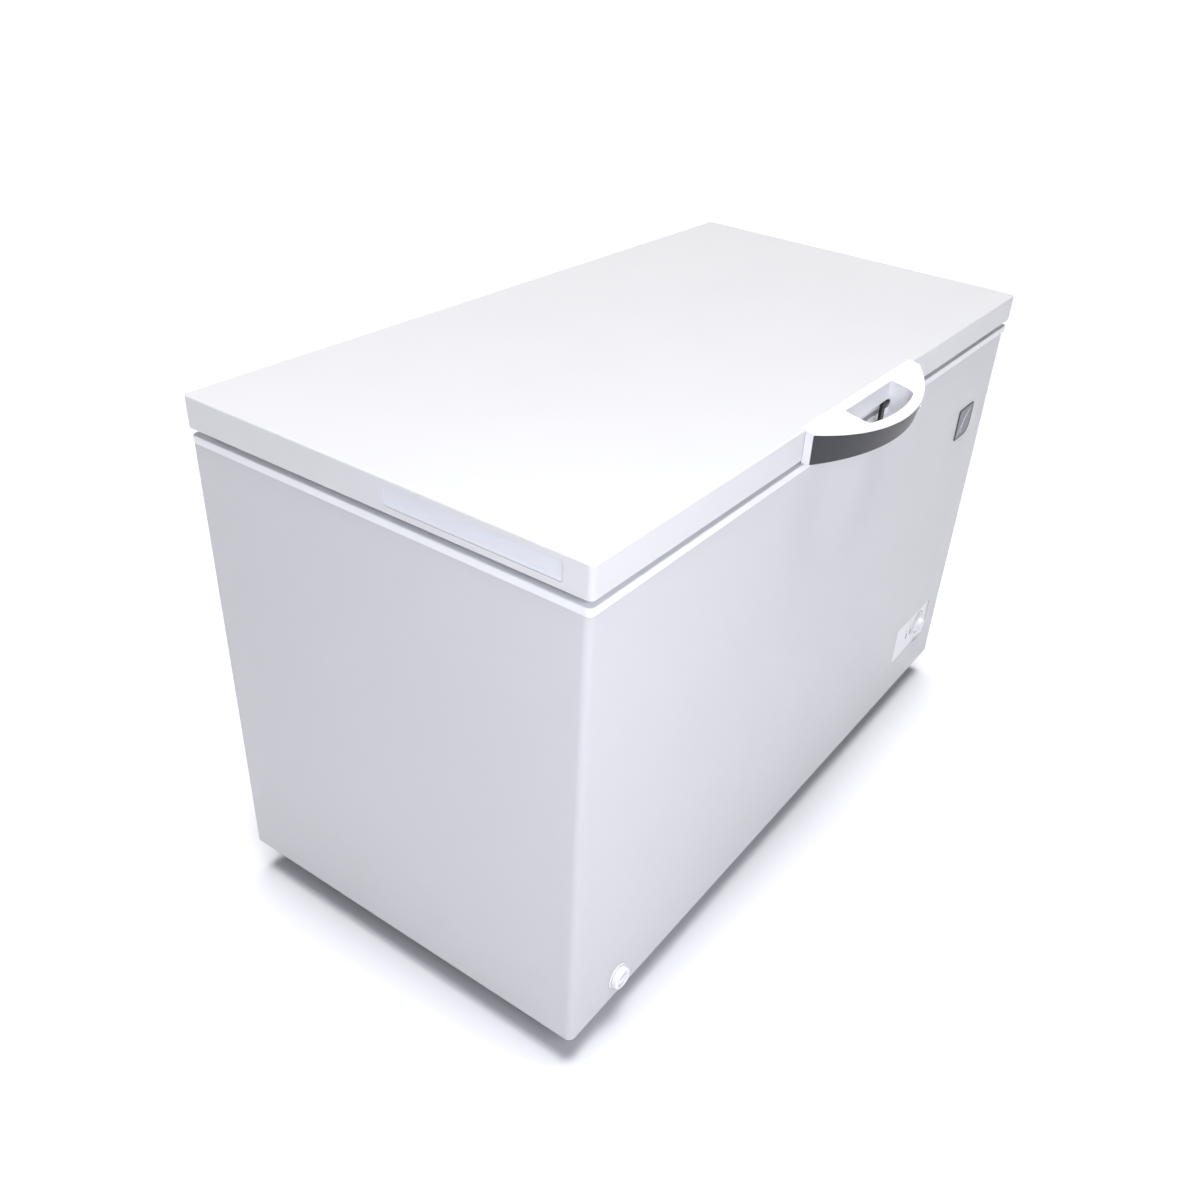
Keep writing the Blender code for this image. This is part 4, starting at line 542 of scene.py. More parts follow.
def bow(inset, back, lean=0.0):
    """Plan of the handle drawn in by one amount: an arc in front and a straight back."""
    outer, middle = bow_circle(lean)
    half, radius = HANDLE_X - inset, outer - inset
    swing = asin(half / radius)
    a = np.linspace(swing, -swing, 61)
    front = np.column_stack((radius * np.sin(a), middle - radius * np.cos(a)))
    return np.concatenate(([(half, back)], front, [(-half, back)]))


def under_top(plan, drop):
    """Lifts a plan to a depth below the handle's sloping top."""
    return np.column_stack((plan, TOP - SLOPE * (lid_low.y - plan[:, 1]) - drop))


OPENING_LEFT, OPENING_RIGHT = -77 * MM, 79 * MM
BACK_RAIL = 8.6 * MM
FRONT_RAIL = 14.5 * MM
RIGHT_CORNER = 14 * MM
RIBS = (-0.145, -0.120, -0.095, 0.132, 0.150)
BORE = 7.8 * MM


def opening(grow):
    """Plan of the finger opening: straight back, round corners, front edge along the bow."""
    left, right, back = OPENING_LEFT - grow, OPENING_RIGHT + grow, lid_low.y - BACK_RAIL + grow
    outer, middle = bow_circle(0.0)
    radius = outer - FRONT_RAIL + grow
    a = np.linspace(asin((right - RIGHT_CORNER) / radius), asin((left + 5 * MM) / radius), 33)
    front = np.column_stack((radius * np.sin(a), middle - radius * np.cos(a)))
    first, last = front[0], front[-1]
    turn = np.linspace(0, pi / 2, 7)[:-1]
    right_corner = first + np.column_stack((RIGHT_CORNER * np.cos(turn), 17 * MM * (1 - np.sin(turn))))
    left_corner = [(left + 2.0 * MM, last[1] + 1.2 * MM), (left + 0.4 * MM, last[1] + 3.6 * MM),
                   (left, last[1] + 7 * MM)]
    return np.concatenate(([(right, back)], right_corner, front, left_corner, [(left, back)]))


def upright(plan, low, high):
    """Straight block over a plan."""
    return shell([lift(np.asarray(plan), low), lift(np.asarray(plan), high)])


def block(low, high):
    """Plain box between two corners."""
    (x0, y0, z0), (x1, y1, z1) = low, high
    return upright([(x0, y0), (x1, y0), (x1, y1), (x0, y1)], z0, z1)


def turned(profile, steps, ring=False):
    """Round shape about the upright axis from rows of (radius, height); a ring closes on itself."""
    a = np.linspace(0, 2 * pi, steps, endpoint=False)
    return shell([lift(np.column_stack((r * np.cos(a), r * np.sin(a))), z) for r, z in profile], wrap=ring)


handle_back = lid_low.y - 0.3 * MM
lock_low, lock_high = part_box("lock_barrel")
lock_x, _, lock_z = centre(lock_low, lock_high)
LOCK_SPOT = (lock_x, lid_low.y, lock_z)
turn = np.linspace(0, pi / 2, 6)
lip_round = 1.6 * MM
loops = [lift(bow(RECESS, handle_back, LEAN), HANDLE_Z), under_top(bow(RECESS, handle_back), LIP),
         under_top(bow(0.5 * MM, handle_back), LIP), under_top(bow(0.0, handle_back), LIP - 0.5 * MM)]
loops += [under_top(bow(lip_round * (1 - cos(a)), handle_back), lip_round * (1 - sin(a))) for a in turn]
body_shape = shell(loops)
WALL = 3.0 * MM
pocket = shell([lift(bow(RECESS + WALL, handle_back + 10 * MM, LEAN), HANDLE_Z - 10 * MM),
                under_top(bow(RECESS + WALL, handle_back + 10 * MM), WALL)])
keep = [upright(opening(WALL), HANDLE_Z - 50 * MM, TOP + 50 * MM),
        block((-1, handle_back - WALL, HANDLE_Z - 0.05), (1, handle_back + 0.05, TOP + 0.05))]
keep += [block((x - 0.8 * MM, -1, HANDLE_Z + 1.5 * MM), (x + 0.8 * MM, 1, TOP)) for x in RIBS]
pocket = carved(pocket, keep)
through = [upright(opening(0.0), HANDLE_Z - 40 * MM, TOP + 40 * MM),
           block((-76.2 * MM, lid_low.y - 12.5 * MM, HANDLE_Z - 30 * MM),
                 (99 * MM, lid_low.y + 10 * MM, TOP - 30.5 * MM)),
           facing(turned([(BORE, 12.5 * MM), (BORE, 80 * MM)], 32), "front", LOCK_SPOT)]
body_shape = carved(body_shape, [pocket, *through])
extra = [block((-HANDLE_X + 0.3 * MM, handle_back - 2 * MM, TOP - 4 * MM),
               (HANDLE_X - 0.3 * MM, handle_high.y, TOP))]
for side in (-1, 1):
    x0, x1 = sorted((side * (HANDLE_X - 0.3 * MM), side * (HANDLE_X - RECESS - LEAN - 4 * MM)))
    extra.append(block((x0, lid_low.y - STRAIGHT, HANDLE_Z + 0.3 * MM),
                       (x1, handle_back - 0.3 * MM, TOP - 3.5 * MM)))
body_shape = carved(carved(body_shape, [extra[0]], operation="UNION"), extra[1:], operation="UNION")
piece("handle_moulding", body_shape, WHITE_ABS, "lid", ["handle_body"], bevel=0.6 * MM,
      sharp=38)

# The dark band is a separate charcoal ABS strip, clipped into the recess under the lip.
# It leans back towards its lower edge and has a fine leather-like grain.
CHARCOAL, tree, shader, place = finish("charcoal_abs", "#2E2F34", 0.42)
tint(tree, shader, noise(tree, place, 220.0, 3.0), "#292A2F", "#35363B")
grain(tree, shader, place, 0.9, 0.22, 0.05)
band_back = lid_low.y - 2 * MM
proud = 0.4 * MM
band = shell([lift(bow(proud, band_back, LEAN), HANDLE_Z + 0.2 * MM),
              under_top(bow(proud, band_back), LIP + 0.3 * MM)])
inside = RECESS - 0.3 * MM
deep = band_back + 50 * MM
hollow = shell([lift(bow(inside, deep, LEAN * 1.5), HANDLE_Z - 20 * MM),
                lift(bow(inside, deep, LEAN), HANDLE_Z + 0.2 * MM),
                under_top(bow(inside, deep), LIP + 0.3 * MM), lift(bow(inside, deep), TOP + 20 * MM)])
ends = block((-0.2, lid_low.y - STRAIGHT - 0.3 * MM, HANDLE_Z - 0.01), (0.2, lid_low.y + 0.01, TOP + 0.01))
key_hole = facing(turned([(BORE, 20 * MM), (BORE, 80 * MM)], 32), "front", LOCK_SPOT)
piece("handle_band", carved(band, [hollow, ends, key_hole]), CHARCOAL, "lid",
      ["handle_fascia"], bevel=0.5 * MM, sharp=38)

# ---- Lock ---------------------------------------------------------------------------
# Die-cast cylinder lock with a polished rim and a keyway, a steel cam riveted behind it,
# and a black nylon hook, screwed to the cabinet front, for the cam to turn behind.


def metal(name, colour, roughness, cell, spread, strength=0.08):
    """Metal with a cloudy polish: cells of `cell` millimetres vary its tone and its roughness."""
    made, tree, shader, place = finish(name, colour, roughness, 1.0)
    cloud = noise(tree, place, 1000 / cell, 4.0)
    value = ranged(tree, cloud, 1 - spread, 1 + spread)
    tone = add(tree, "ShaderNodeHueSaturation", {"Color": srgb(colour), "Value": value})
    tree.links.new(tone.outputs[0], shader.inputs["Base Color"])
    tree.links.new(ranged(tree, cloud, roughness - 0.08, roughness + 0.10), shader.inputs["Roughness"])
    grain(tree, shader, place, cell / 3, strength, 0.03)
    return made


ZINC = metal("zinc_plated_steel", "#B4B6B8", 0.37, 6, 0.12)
CHROME = metal("nickelled_die_casting", "#C9CACC", 0.16, 9, 0.05, 0.03)
NYLON = moulding("black_nylon", "#17181A", 0.48, 0.9)
front_face = lid_low.y - lock_low.y
face_rows = mm((7.5, 1.2), (7.2, 0.5), (6.6, 0.0), (5.9, 0.0), (5.7, 0.5), (5.4, 0.6), (5.1, 0.3), (0.2, 0.3))
face_rows[:, 1] = front_face - face_rows[:, 1]
barrel = turned([*mm((3.5, 5.0), (3.5, 8.3), (7.5, 8.3)), *face_rows], 40)
keyway = [block((-0.9 * MM, -3.1 * MM, front_face - 6 * MM), (0.9 * MM, 3.1 * MM, front_face + 1 * MM)),
          block((-1.6 * MM, -0.2 * MM, front_face - 6 * MM), (-0.5 * MM, 1.6 * MM, front_face + 1 * MM))]
piece("lock_cylinder", facing(carved(barrel, keyway), "front", LOCK_SPOT), CHROME, "lid",
      ["lock_barrel"])


def arc(middle, radius, first, last, count):
    """Points along a circle from one angle to another, in degrees."""
    a = np.radians(np.linspace(first, last, count))
    return np.column_stack((middle[0] + radius * np.cos(a), middle[1] + radius * np.sin(a)))


def screw_head(radius, tall):
    """Domed screw head with a cross recess, lying flat."""
    a = np.linspace(0, pi / 2, 6)
    rows = [(radius * cos(t) * 0.98 + 0.02 * radius, tall * (0.15 + 0.85 * sin(t))) for t in a]
    head = turned([(radius, 0.0), *rows], 24)
    slots = [block((-radius * 0.55, -radius * 0.10, tall * 0.55), (radius * 0.55, radius * 0.10, tall * 2)),
             block((-radius * 0.10, -radius * 0.55, tall * 0.50), (radius * 0.10, radius * 0.55, tall * 2))]
    return carved(head, slots)


def at_spots(shape, side, spots):
    """The same flat shape at several spots on one side."""
    return joined(*[facing(shape, side, spot) for spot in spots])


catch_low, catch_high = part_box("lock_catch")
stem = catch_low.x + 4 * MM
stem_end = stem + 10.5 * MM
plate_y = wrap_low.y - 0.3 * MM
plate = slab(catch_low.xz, (stem_end + 8 * MM, catch_low.z + 30 * MM), 3 * MM, 0.0, 3.0 * MM, 0.6 * MM)
foot_z = catch_low.z + 12 * MM
gap_y = lid_low.y - 3.5 * MM
foot = block((stem, foot_z, 2 * MM), (stem_end, foot_z + 12 * MM, plate_y - gap_y + 4.9 * MM))
hook_z = catch_high.z
arm_end = catch_high.x
arm_z = hook_z - 9.5 * MM
hook = np.concatenate(([(stem, foot_z + 2 * MM), (stem_end, foot_z + 2 * MM), (stem_end, arm_z - 1 * MM)],
                       arc((stem_end + 1 * MM, arm_z - 1 * MM), 1 * MM, 180, 90, 4),
                       arc((arm_end - 1.5 * MM, arm_z + 1.6 * MM), 1.5 * MM, -80, 60, 7),
                       arc((stem + 5.4 * MM, hook_z - 5.4 * MM), 5.4 * MM, 50, 180, 12)))
hook = upright(hook, plate_y - gap_y, plate_y - gap_y + 5.0 * MM)
nylon_hook = carved(carved(plate, [foot], operation="UNION"), [hook], operation="UNION")
piece("lock_hook", facing(nylon_hook, "front", (0, plate_y, 0)), NYLON, "cabinet",
      ["lock_catch"], bevel=0.5 * MM, sharp=38)
hook_screws = [(stem_end + 4.0 * MM, plate_y - 2.9 * MM, catch_low.z + z * MM) for z in (6, 24)]
piece("lock_hook_screws", at_spots(screw_head(2.6 * MM, 1.5 * MM), "front", hook_screws), ZINC, "cabinet")

# ---- Badge --------------------------------------------------------------------------
# Maker's plate with one large rounded corner: a gloss black moulded border round a
# satin grey field. Two pale diagonal slivers across the field are a painted highlight,
# the sheen of the field drawn as raised light strips. It is glued to the front.
badge_low, badge_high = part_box("badge_plate")


BIG_CORNER = 24 * MM
SMALL_CORNER = 3.0 * MM


def badge_row(row):
    """Outline of the badge, its lower right corner large: drawn in by four amounts, at a height."""
    left, bottom, right, top, height = mm(*row)
    x0, z0, x1, z1 = badge_low.x + left, badge_low.z + bottom, badge_high.x - right, badge_high.z - top
    big = BIG_CORNER - (bottom + right) / 2
    little = max(SMALL_CORNER - (left + top) / 2, 0.6 * MM)
    return lift(np.concatenate((arc((x0 + little, z1 - little), little, 90, 180, 5),
                                arc((x0 + little, z0 + little), little, 180, 270, 5),
                                arc((x1 - big, z0 + big), big, 270, 360, 17),
                                arc((x1 - little, z1 - little), little, 0, 90, 5))), height)


GLOSS_BLACK = moulding("gloss_black_abs", "#1C1D21", 0.16, 3.0)
badge_y = wrap_low.y - 0.3 * MM
rows = [(0, 0, 0, 0, 0.0), (0, 0, 0, 0, 1.1), (0.2, 0.2, 0.2, 0.2, 1.45), (0.6, 0.6, 0.6, 0.6, 1.6),
        (5.6, 2.8, 2.4, 4.6, 1.6), (6.0, 3.2, 2.8, 5.0, 1.45), (6.2, 3.4, 3.0, 5.2, 1.0)]
border = shell([badge_row(row) for row in rows])
piece("badge_border", facing(border, "front", (0, badge_y, 0)), GLOSS_BLACK, "cabinet",
      ["badge_plate"])
SATIN = metal("satin_grey_foil", "#7B7E86", 0.42, 14, 0.10)
rows = [(6.3, 3.5, 3.1, 5.3, 0.9), (6.3, 3.5, 3.1, 5.3, 1.15), (6.6, 3.8, 3.4, 5.6, 1.25)]
field = shell([badge_row(row) for row in rows])
piece("badge_field", facing(field, "front", (0, badge_y, 0)), SATIN, "cabinet")


def sliver(start, end, wide, narrow, low, high):
    """Thin tapering blade between two points of the badge, bowed to one side."""
    (x0, z0), (x1, z1) = start, end
    ahead = np.array((x1 - x0, z1 - z0)) / np.hypot(x1 - x0, z1 - z0)
    side = np.array((-ahead[1], ahead[0]))
    t = np.linspace(0, 1, 17)
    mid = np.outer(1 - t, start) + np.outer(t, end) + np.outer(np.sin(pi * t) * wide * 1.6, side)
    half = np.outer(narrow + (wide - narrow) * np.sin(pi * t) ** 0.8, side) / 2
    left, right = mid + half, mid - half
    return upright(np.concatenate((left, right[::-1])), low, high)


# The two slivers are a painted highlight: pale metal strips laid where the field shows its sheen.
foil = np.array((badge_low.x + 8 * MM, badge_low.z + 7 * MM))
blades = [sliver(*(foil + mm((0, 0), (46, 45))), *mm(2.4, 0.5, 1.1, 1.5)),
          sliver(*(foil + mm((16, 2), (24, 21))), *mm(1.8, 0.5, 1.1, 1.45))]
PAINTED_HIGHLIGHT_METAL = metal("badge_painted_highlight", "#D9DBE0", 0.36, 9, 0.05)
piece("badge_painted_highlight_slivers", facing(joined(*blades), "front", (0, badge_y, 0)), PAINTED_HIGHLIGHT_METAL, "cabinet")

# ---- Control panel ------------------------------------------------------------------
# White ABS fascia clipped into a window in the sheet: a sloping border, a flat field, a
# raised dial ring with its scale, two lamp surrounds and a small push button.
knob_low, knob_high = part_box("thermostat_knob")
DIAL = centre(knob_low, knob_high)[::2]
field_y = wrap_low.y + 3 * MM
flat_low = np.array(WINDOW[0]) + 0.6 * MM
flat_high = np.array(WINDOW[1]) - 0.6 * MM
rows = [(-9.6, -4.4, 3), (-9.6, 1.7, 3), (0.0, 1.7, 3), (0.6, 1.6, 2.8), (1.2, 1.2, 2.6), (3.0, 0.2, 2.0),
        (3.6, 0.0, 1.8)]
fascia = shell([level(flat_low, flat_high, d * MM, r * MM, 6, z * MM) for d, z, r in rows])
shaft = facing(turned(mm((5.2, -9), (5.2, 9)), 32), "up", (*DIAL, 0))
LAMPS = [centre(*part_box(name))[::2] for name in ("power_lamp", "run_lamp")]


def stadium(spot, radius, half, height):
    """Upright slot with round ends, as one level outline."""
    plan = np.concatenate((arc((spot[0], spot[1] + half), radius, 0, 180, 13),
                           arc((spot[0], spot[1] - half), radius, 180, 360, 13)))
    return lift(plan, height)


holes = [shell([stadium(spot, 2.9 * MM, 4.5 * MM, z) for z in (-9 * MM, 9 * MM)]) for spot in LAMPS]
fascia = carved(fascia, [shaft, *holes])
ring_rows = mm((25.6, -0.1), (25.4, 0.7), (24.9, 1.2), (24.2, 1.4), (23.5, 1.2), (23.1, 0.6), (22.9, -0.1))
dial_ring = facing(turned(ring_rows, 72, ring=True), "up", (*DIAL, 0))
rims = mm((3.0, -0.2), (3.0, 0.5), (3.3, 0.75), (3.9, 0.7), (4.5, 0.25), (4.7, -0.2))
surrounds = [shell([stadium(spot, r, 4.5 * MM, z) for r, z in rims], wrap=True) for spot in LAMPS]
BUTTON = (panel_low.x + 10 * MM + 42 * MM - 0.5 * MM, LAMPS[0][1] - 7 * MM)
push = facing(turned(mm((3.4, -0.3), (3.4, 0.2), (3.0, 0.5), (2.6, 0.5),
                      (2.5, 1.3), (2.1, 1.7), (0.4, 1.9)), 32), "up", (*BUTTON, 0))
piece("control_fascia", facing(fascia, "front", (0, field_y, 0)), WHITE_ABS, "cabinet",
      ["control_panel"])
piece("control_surrounds", facing(joined(dial_ring, *surrounds, push), "front", (0, field_y, 0)), WHITE_ABS,
      "cabinet")

# The scale is pad-printed grey ink: ticks that grow round the dial, and a frost wedge.
INK, tree, shader, place = finish("grey_pad_ink", "#5A5C61", 0.55)
grain(tree, shader, place, 0.5, 0.1, 0.01)


def bar(start, end, half, low, high):
    """Straight upright bar in plan from one point to another, `half` wide on either side."""
    start, end = np.array(start), np.array(end)
    ahead = (end - start) / np.linalg.norm(end - start)
    across = np.array((-ahead[1], ahead[0])) * half
    return upright([start - across, end - across, end + across, start + across], low, high)


ticks = []
for i in range(8):
    angle = radians(225 - i * 270 / 7)
    near, far = [np.array(DIAL) + r * MM * np.array((cos(angle), sin(angle))) for r in (19.6, 22.2)]
    ticks.append(bar(near, far, (0.35 + 0.08 * i) * MM, -0.1 * MM, 0.12 * MM))
a = np.radians(np.linspace(215, -35, 45))
grow = np.linspace(0.15, 1.5, 45) * MM
wedge = np.concatenate((np.column_stack(((26.6 * MM + grow) * np.cos(a), (26.6 * MM + grow) * np.sin(a))),
                        np.column_stack((26.6 * MM * np.cos(a), 26.6 * MM * np.sin(a)))[::-1]))
ticks.append(upright(wedge + np.array(DIAL), -0.1 * MM, 0.10 * MM))
icons = [upright(np.array([(-2.2, 0), (2.2, 0), (0, 3.4)]) * MM + np.array(LAMPS[0]) + (0, 10.5 * MM),
                 -0.1 * MM, 0.1 * MM),
         shell([lift(arc(np.array(LAMPS[1]) + (0, 12 * MM), r * MM, 0, 345, 24), z * MM)
                for r, z in ((1.9, -0.1), (1.9, 0.1), (1.2, 0.1), (1.2, -0.1))], wrap=True)]
piece("control_print", facing(joined(*ticks, *icons), "front", (0, field_y, 0)), INK, "cabinet")

# Dial: a skirt and a fluted grip with a raised pointer, pressed on to the switch shaft.
knob_y = field_y - 0.6 * MM
steps = 144
a = np.linspace(0, 2 * pi, steps, endpoint=False)
flute = 0.5 * MM * (0.5 + 0.5 * np.cos(24 * a)) ** 2
rows = [(17.6, 0.0, 0), (18.0, 0.5, 0), (18.0, 1.3, 0), (17.5, 1.9, 0), (16.6, 2.1, 0), (13.2, 2.3, 0),
        (12.4, 2.9, 0.4), (12.0, 4.0, 1), (11.5, 10.6, 1), (11.1, 11.6, 0.6), (10.2, 12.2, 0), (9.2, 12.2, 0),
        (8.6, 11.8, 0), (0.3, 11.7, 0)]
grip = shell([np.column_stack(((r * MM - f * flute) * np.cos(a), (r * MM - f * flute) * np.sin(a),
                               np.full(steps, z * MM))) for r, z, f in rows])
bore = turned(mm((3.4, -3), (3.4, 10.5)), 32)
pointer = slab((-0.9 * MM, 3.0 * MM), (0.9 * MM, 10.8 * MM), 0.8 * MM, 11.0 * MM, 12.5 * MM, 0.3 * MM)
knob = carved(grip, [bore])
piece("dial_knob", facing(joined(knob, pointer), "front", (DIAL[0], knob_y, DIAL[1])), WHITE_ABS,
      "thermostat_knob", ["thermostat_knob"])
mark = slab((-0.5 * MM, 13.6 * MM), (0.5 * MM, 16.8 * MM), 0.4 * MM, 1.9 * MM, 2.35 * MM)
piece("dial_mark", facing(mark, "front", (DIAL[0], knob_y, DIAL[1])), INK, "thermostat_knob")

# Lamps: smoked acrylic lenses with a domed face, dark while they are off.
SMOKED, tree, shader, place = finish("smoked_acrylic", "#1B231F", 0.10, Coat_Weight=0.5)
tint(tree, shader, noise(tree, place, 300.0), "#161D1A", "#242C29")
rows = mm((2.6, -11.8), (2.6, 0.1), (2.3, 0.45), (1.6, 0.68), (0.8, 0.78))
for name, spot in zip(("power_lamp", "run_lamp"), LAMPS):
    dome = facing(shell([stadium(spot, r, 4.5 * MM, z) for r, z in rows]), "front", (0, field_y, 0))
    piece(name + "_lens", dome, SMOKED, "cabinet", [name])

# ---- Drain --------------------------------------------------------------------------
# Meltwater outlet: an ABS bezel snapped into the sheet, a push-in cap with a finger bar,
# and inside the chamber a rubbery stopper with a pull knob.
bezel = turned(mm((9.4, 0.0), (20.5, 0.0), (20.5, 0.8), (20.2, 1.5), (19.5, 1.95), (18.6, 2.0), (9.4, 2.0)),
               64, ring=True)
piece("drain_ring", facing(bezel, "front", (DRAIN[0], wrap_low.y - 0.3 * MM, DRAIN[1])), WHITE_ABS, "cabinet",
      ["drain_bezel"])
cap = turned(mm((6.0, -14), (8.0, -13.6), (8.3, -13), (8.6, 0.0), (17.4, 0.0),
              (18.0, 0.5), (17.9, 3.0), (17.5, 6.9), (16.9, 8.2),
              (15.4, 9.1), (13.4, 9.3), (12.2, 8.3), (11.6, 6.6),
              (10.8, 6.0), (0.3, 6.0)), 64)
finger_bar = slab((-11.6 * MM, -1.4 * MM), (11.6 * MM, 1.4 * MM), 1.3 * MM, 5.5 * MM, 9.3 * MM, 0.8 * MM)
cap_y = wrap_low.y - 2.7 * MM
piece("drain_push_cap", facing(joined(cap, finger_bar), "front", (DRAIN[0], cap_y, DRAIN[1])), WHITE_ABS,
      "drain_cap", ["drain_cap"])
stop_low, stop_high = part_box("drain_stopper")
spot = (*centre(stop_low, stop_high)[:2], stop_low.z + 9 * MM)
GREY_RUBBER = moulding("grey_stopper_rubber", "#8A8D90", 0.62, 0.8)
stopper = turned(mm((7.0, -9), (8.0, -8.4), (8.5, -1), (8.6, 0.0),
                  (14.9, 0.0), (15.5, 0.5), (15.5, 1.7), (15.0, 2.3),
                  (9.0, 2.6), (5.4, 3.0), (4.4, 3.6), (4.6, 4.6),
                  (4.4, 5.2), (3.6, 5.5), (0.3, 5.5)), 48)
piece("drain_plug", facing(stopper, "up", spot), GREY_RUBBER, "drain_stopper",
      ["drain_stopper"])

# ---- Rear and side louvres ----------------------------------------------------------
# The machine compartment breathes through a black stamped steel cover on the back and a
# white ABS grille in the right side. Each slot has a hood or a slanting blade over it.


def hood(v, middle, wide, tall, rise):
    """Hood over one level slot: a quarter-round ramp that rises towards its upper edge."""
    a = np.linspace(0, 1, 6)
    profile = np.column_stack((v + tall * a, rise * np.sin(a * pi / 2) ** 0.8 + 0.2 * MM))
    loops = []
    for end in (-1, -0.985, 0.985, 1):
        scale = 0.0 if abs(end) == 1 else 1.0
        x = middle + end * wide / 2
        outer = [(x, p, 0.2 * MM + (z - 0.2 * MM) * scale) for p, z in profile]
        inner = [(x, p, max(z * scale - 0.8 * MM, -0.6 * MM)) for p, z in profile[::-1]]
        loops.append(outer + inner)
    return shell(loops)


BLACK_ENAMEL = enamel("black_enamelled_steel", "#1A1B1D", "#202124", 0.10)
cover_low, cover_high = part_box("compressor_cover")
low, high = (-cover_high.x, cover_low.z), (-cover_low.x, cover_high.z)
slot_spots = [low[1] + (28 + 21 * i) * MM for i in range(8)]
slot_wide = high[0] - low[0] - 64 * MM
cover = slab(low, high, 6 * MM, 0.0, 1.5 * MM, 0.4 * MM)
middle = (low[0] + high[0]) / 2
left, right = middle - slot_wide / 2, middle + slot_wide / 2
slots = [block((left, v, -5 * MM), (right, v + 8 * MM, 5 * MM)) for v in slot_spots]
hoods = [hood(v, middle, slot_wide, 8.2 * MM, 4.5 * MM) for v in slot_spots]
cover = joined(carved(cover, slots), *hoods)
piece("rear_louvre_cover", facing(cover, "back", (0, cover_low.y, 0)), BLACK_ENAMEL, "cabinet",
      ["compressor_cover"])
cover_screws = [(x, cover_low.y + 1.4 * MM, z)
                for x in (cover_low.x + 7 * MM, centre(cover_low, cover_high)[0], cover_high.x - 7 * MM)
                for z in (cover_low.z + 7 * MM, cover_high.z - 7 * MM)]
back_low, back_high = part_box("back_panel")
edge_screws = [(x, back_high.y - 0.1 * MM, z) for x in (back_low.x + 9 * MM, back_high.x - 9 * MM)
               for z in np.linspace(back_low.z + 60 * MM, back_high.z - 140 * MM, 5)]
piece("rear_screws", at_spots(screw_head(3.6 * MM, 1.9 * MM), "back", cover_screws + edge_screws), ZINC,
      "cabinet")

low, high = (grille_low.y, grille_low.z), (grille_high.y, grille_high.z)
frame_rows = [(0.0, -0.9, 2), (0.0, 0.7, 2), (0.3, 1.1, 2), (0.8, 1.2, 2), (11.0, 1.2, 2), (12.2, 0.8, 2),
              (13.0, -0.9, 2)]
frame_shape = shell([level(low, high, d * MM, r * MM, 6, z * MM) for d, z, r in frame_rows], wrap=True)
section = mm((0.0, 0.9), (1.3, 0.9), (6.6, -3.4), (5.3, -3.4))
blades = [shell([[(u, v + p, z) for p, z in section] for u in (low[0] + 12.6 * MM, high[0] - 12.6 * MM)])
          for v in np.arange(low[1] + 13 * MM, high[1] - 15 * MM, 8.2 * MM)]
ribs = [block((u - 1 * MM, low[1] + 12 * MM, -3.2 * MM), (u + 1 * MM, high[1] - 12 * MM, 0.2 * MM))
        for u in np.linspace(low[0], high[0], 5)[1:-1]]
piece("side_louvre_grille", facing(joined(frame_shape, *blades, *ribs), "right", (wrap_high.x, 0, 0)),
      WHITE_ABS, "cabinet", ["side_vent_grille"])

# ---- Hinges -------------------------------------------------------------------------
# Counterbalance hinges: bright zinc brackets with folded ears, a headed pin, and a wound
# torsion spring whose one leg pushes on the cabinet bracket and the other on the lid's.


def tube(path, radius, sides, closed=False):
    """Round wire along a path: a ring square to the path at each spot, carried along without twist."""
    path = np.asarray(path, float)
    ahead = np.roll(path, -1, 0) - np.roll(path, 1, 0)
    if not closed:
        ahead[0], ahead[-1] = path[1] - path[0], path[-1] - path[-2]
    ahead /= np.linalg.norm(ahead, axis=1)[:, None]
    side = np.cross(ahead[0], (0, 0, 1) if abs(ahead[0][2]) < 0.9 else (1, 0, 0))
    a = np.linspace(0, 2 * pi, sides, endpoint=False)
    loops = []
    for spot, along in zip(path, ahead):
        side = side - along * np.dot(side, along)
        side /= np.linalg.norm(side)
        other = np.cross(along, side)
        loops.append(spot + radius * (np.outer(np.cos(a), side) + np.outer(np.sin(a), other)))
    return shell(loops, wrap=closed)


def bent(corners, radius, steps=5, closed=False):
    """Path through corners, each rounded by a smooth curve that starts `radius` before it."""
    corners = np.asarray(corners, float)
    count = len(corners)
    path = [] if closed else [corners[0]]
    for i in range(count) if closed else range(1, count - 1):
        before, at, after = corners[i - 1], corners[i], corners[(i + 1) % count]
        start = at + (before - at) / np.linalg.norm(before - at) * radius
        end = at + (after - at) / np.linalg.norm(after - at) * radius
        for t in np.linspace(0, 1, steps):
            path.append((1 - t) ** 2 * start + 2 * t * (1 - t) * at + t ** 2 * end)
    if not closed:
        path.append(corners[-1])
    return np.array(path)


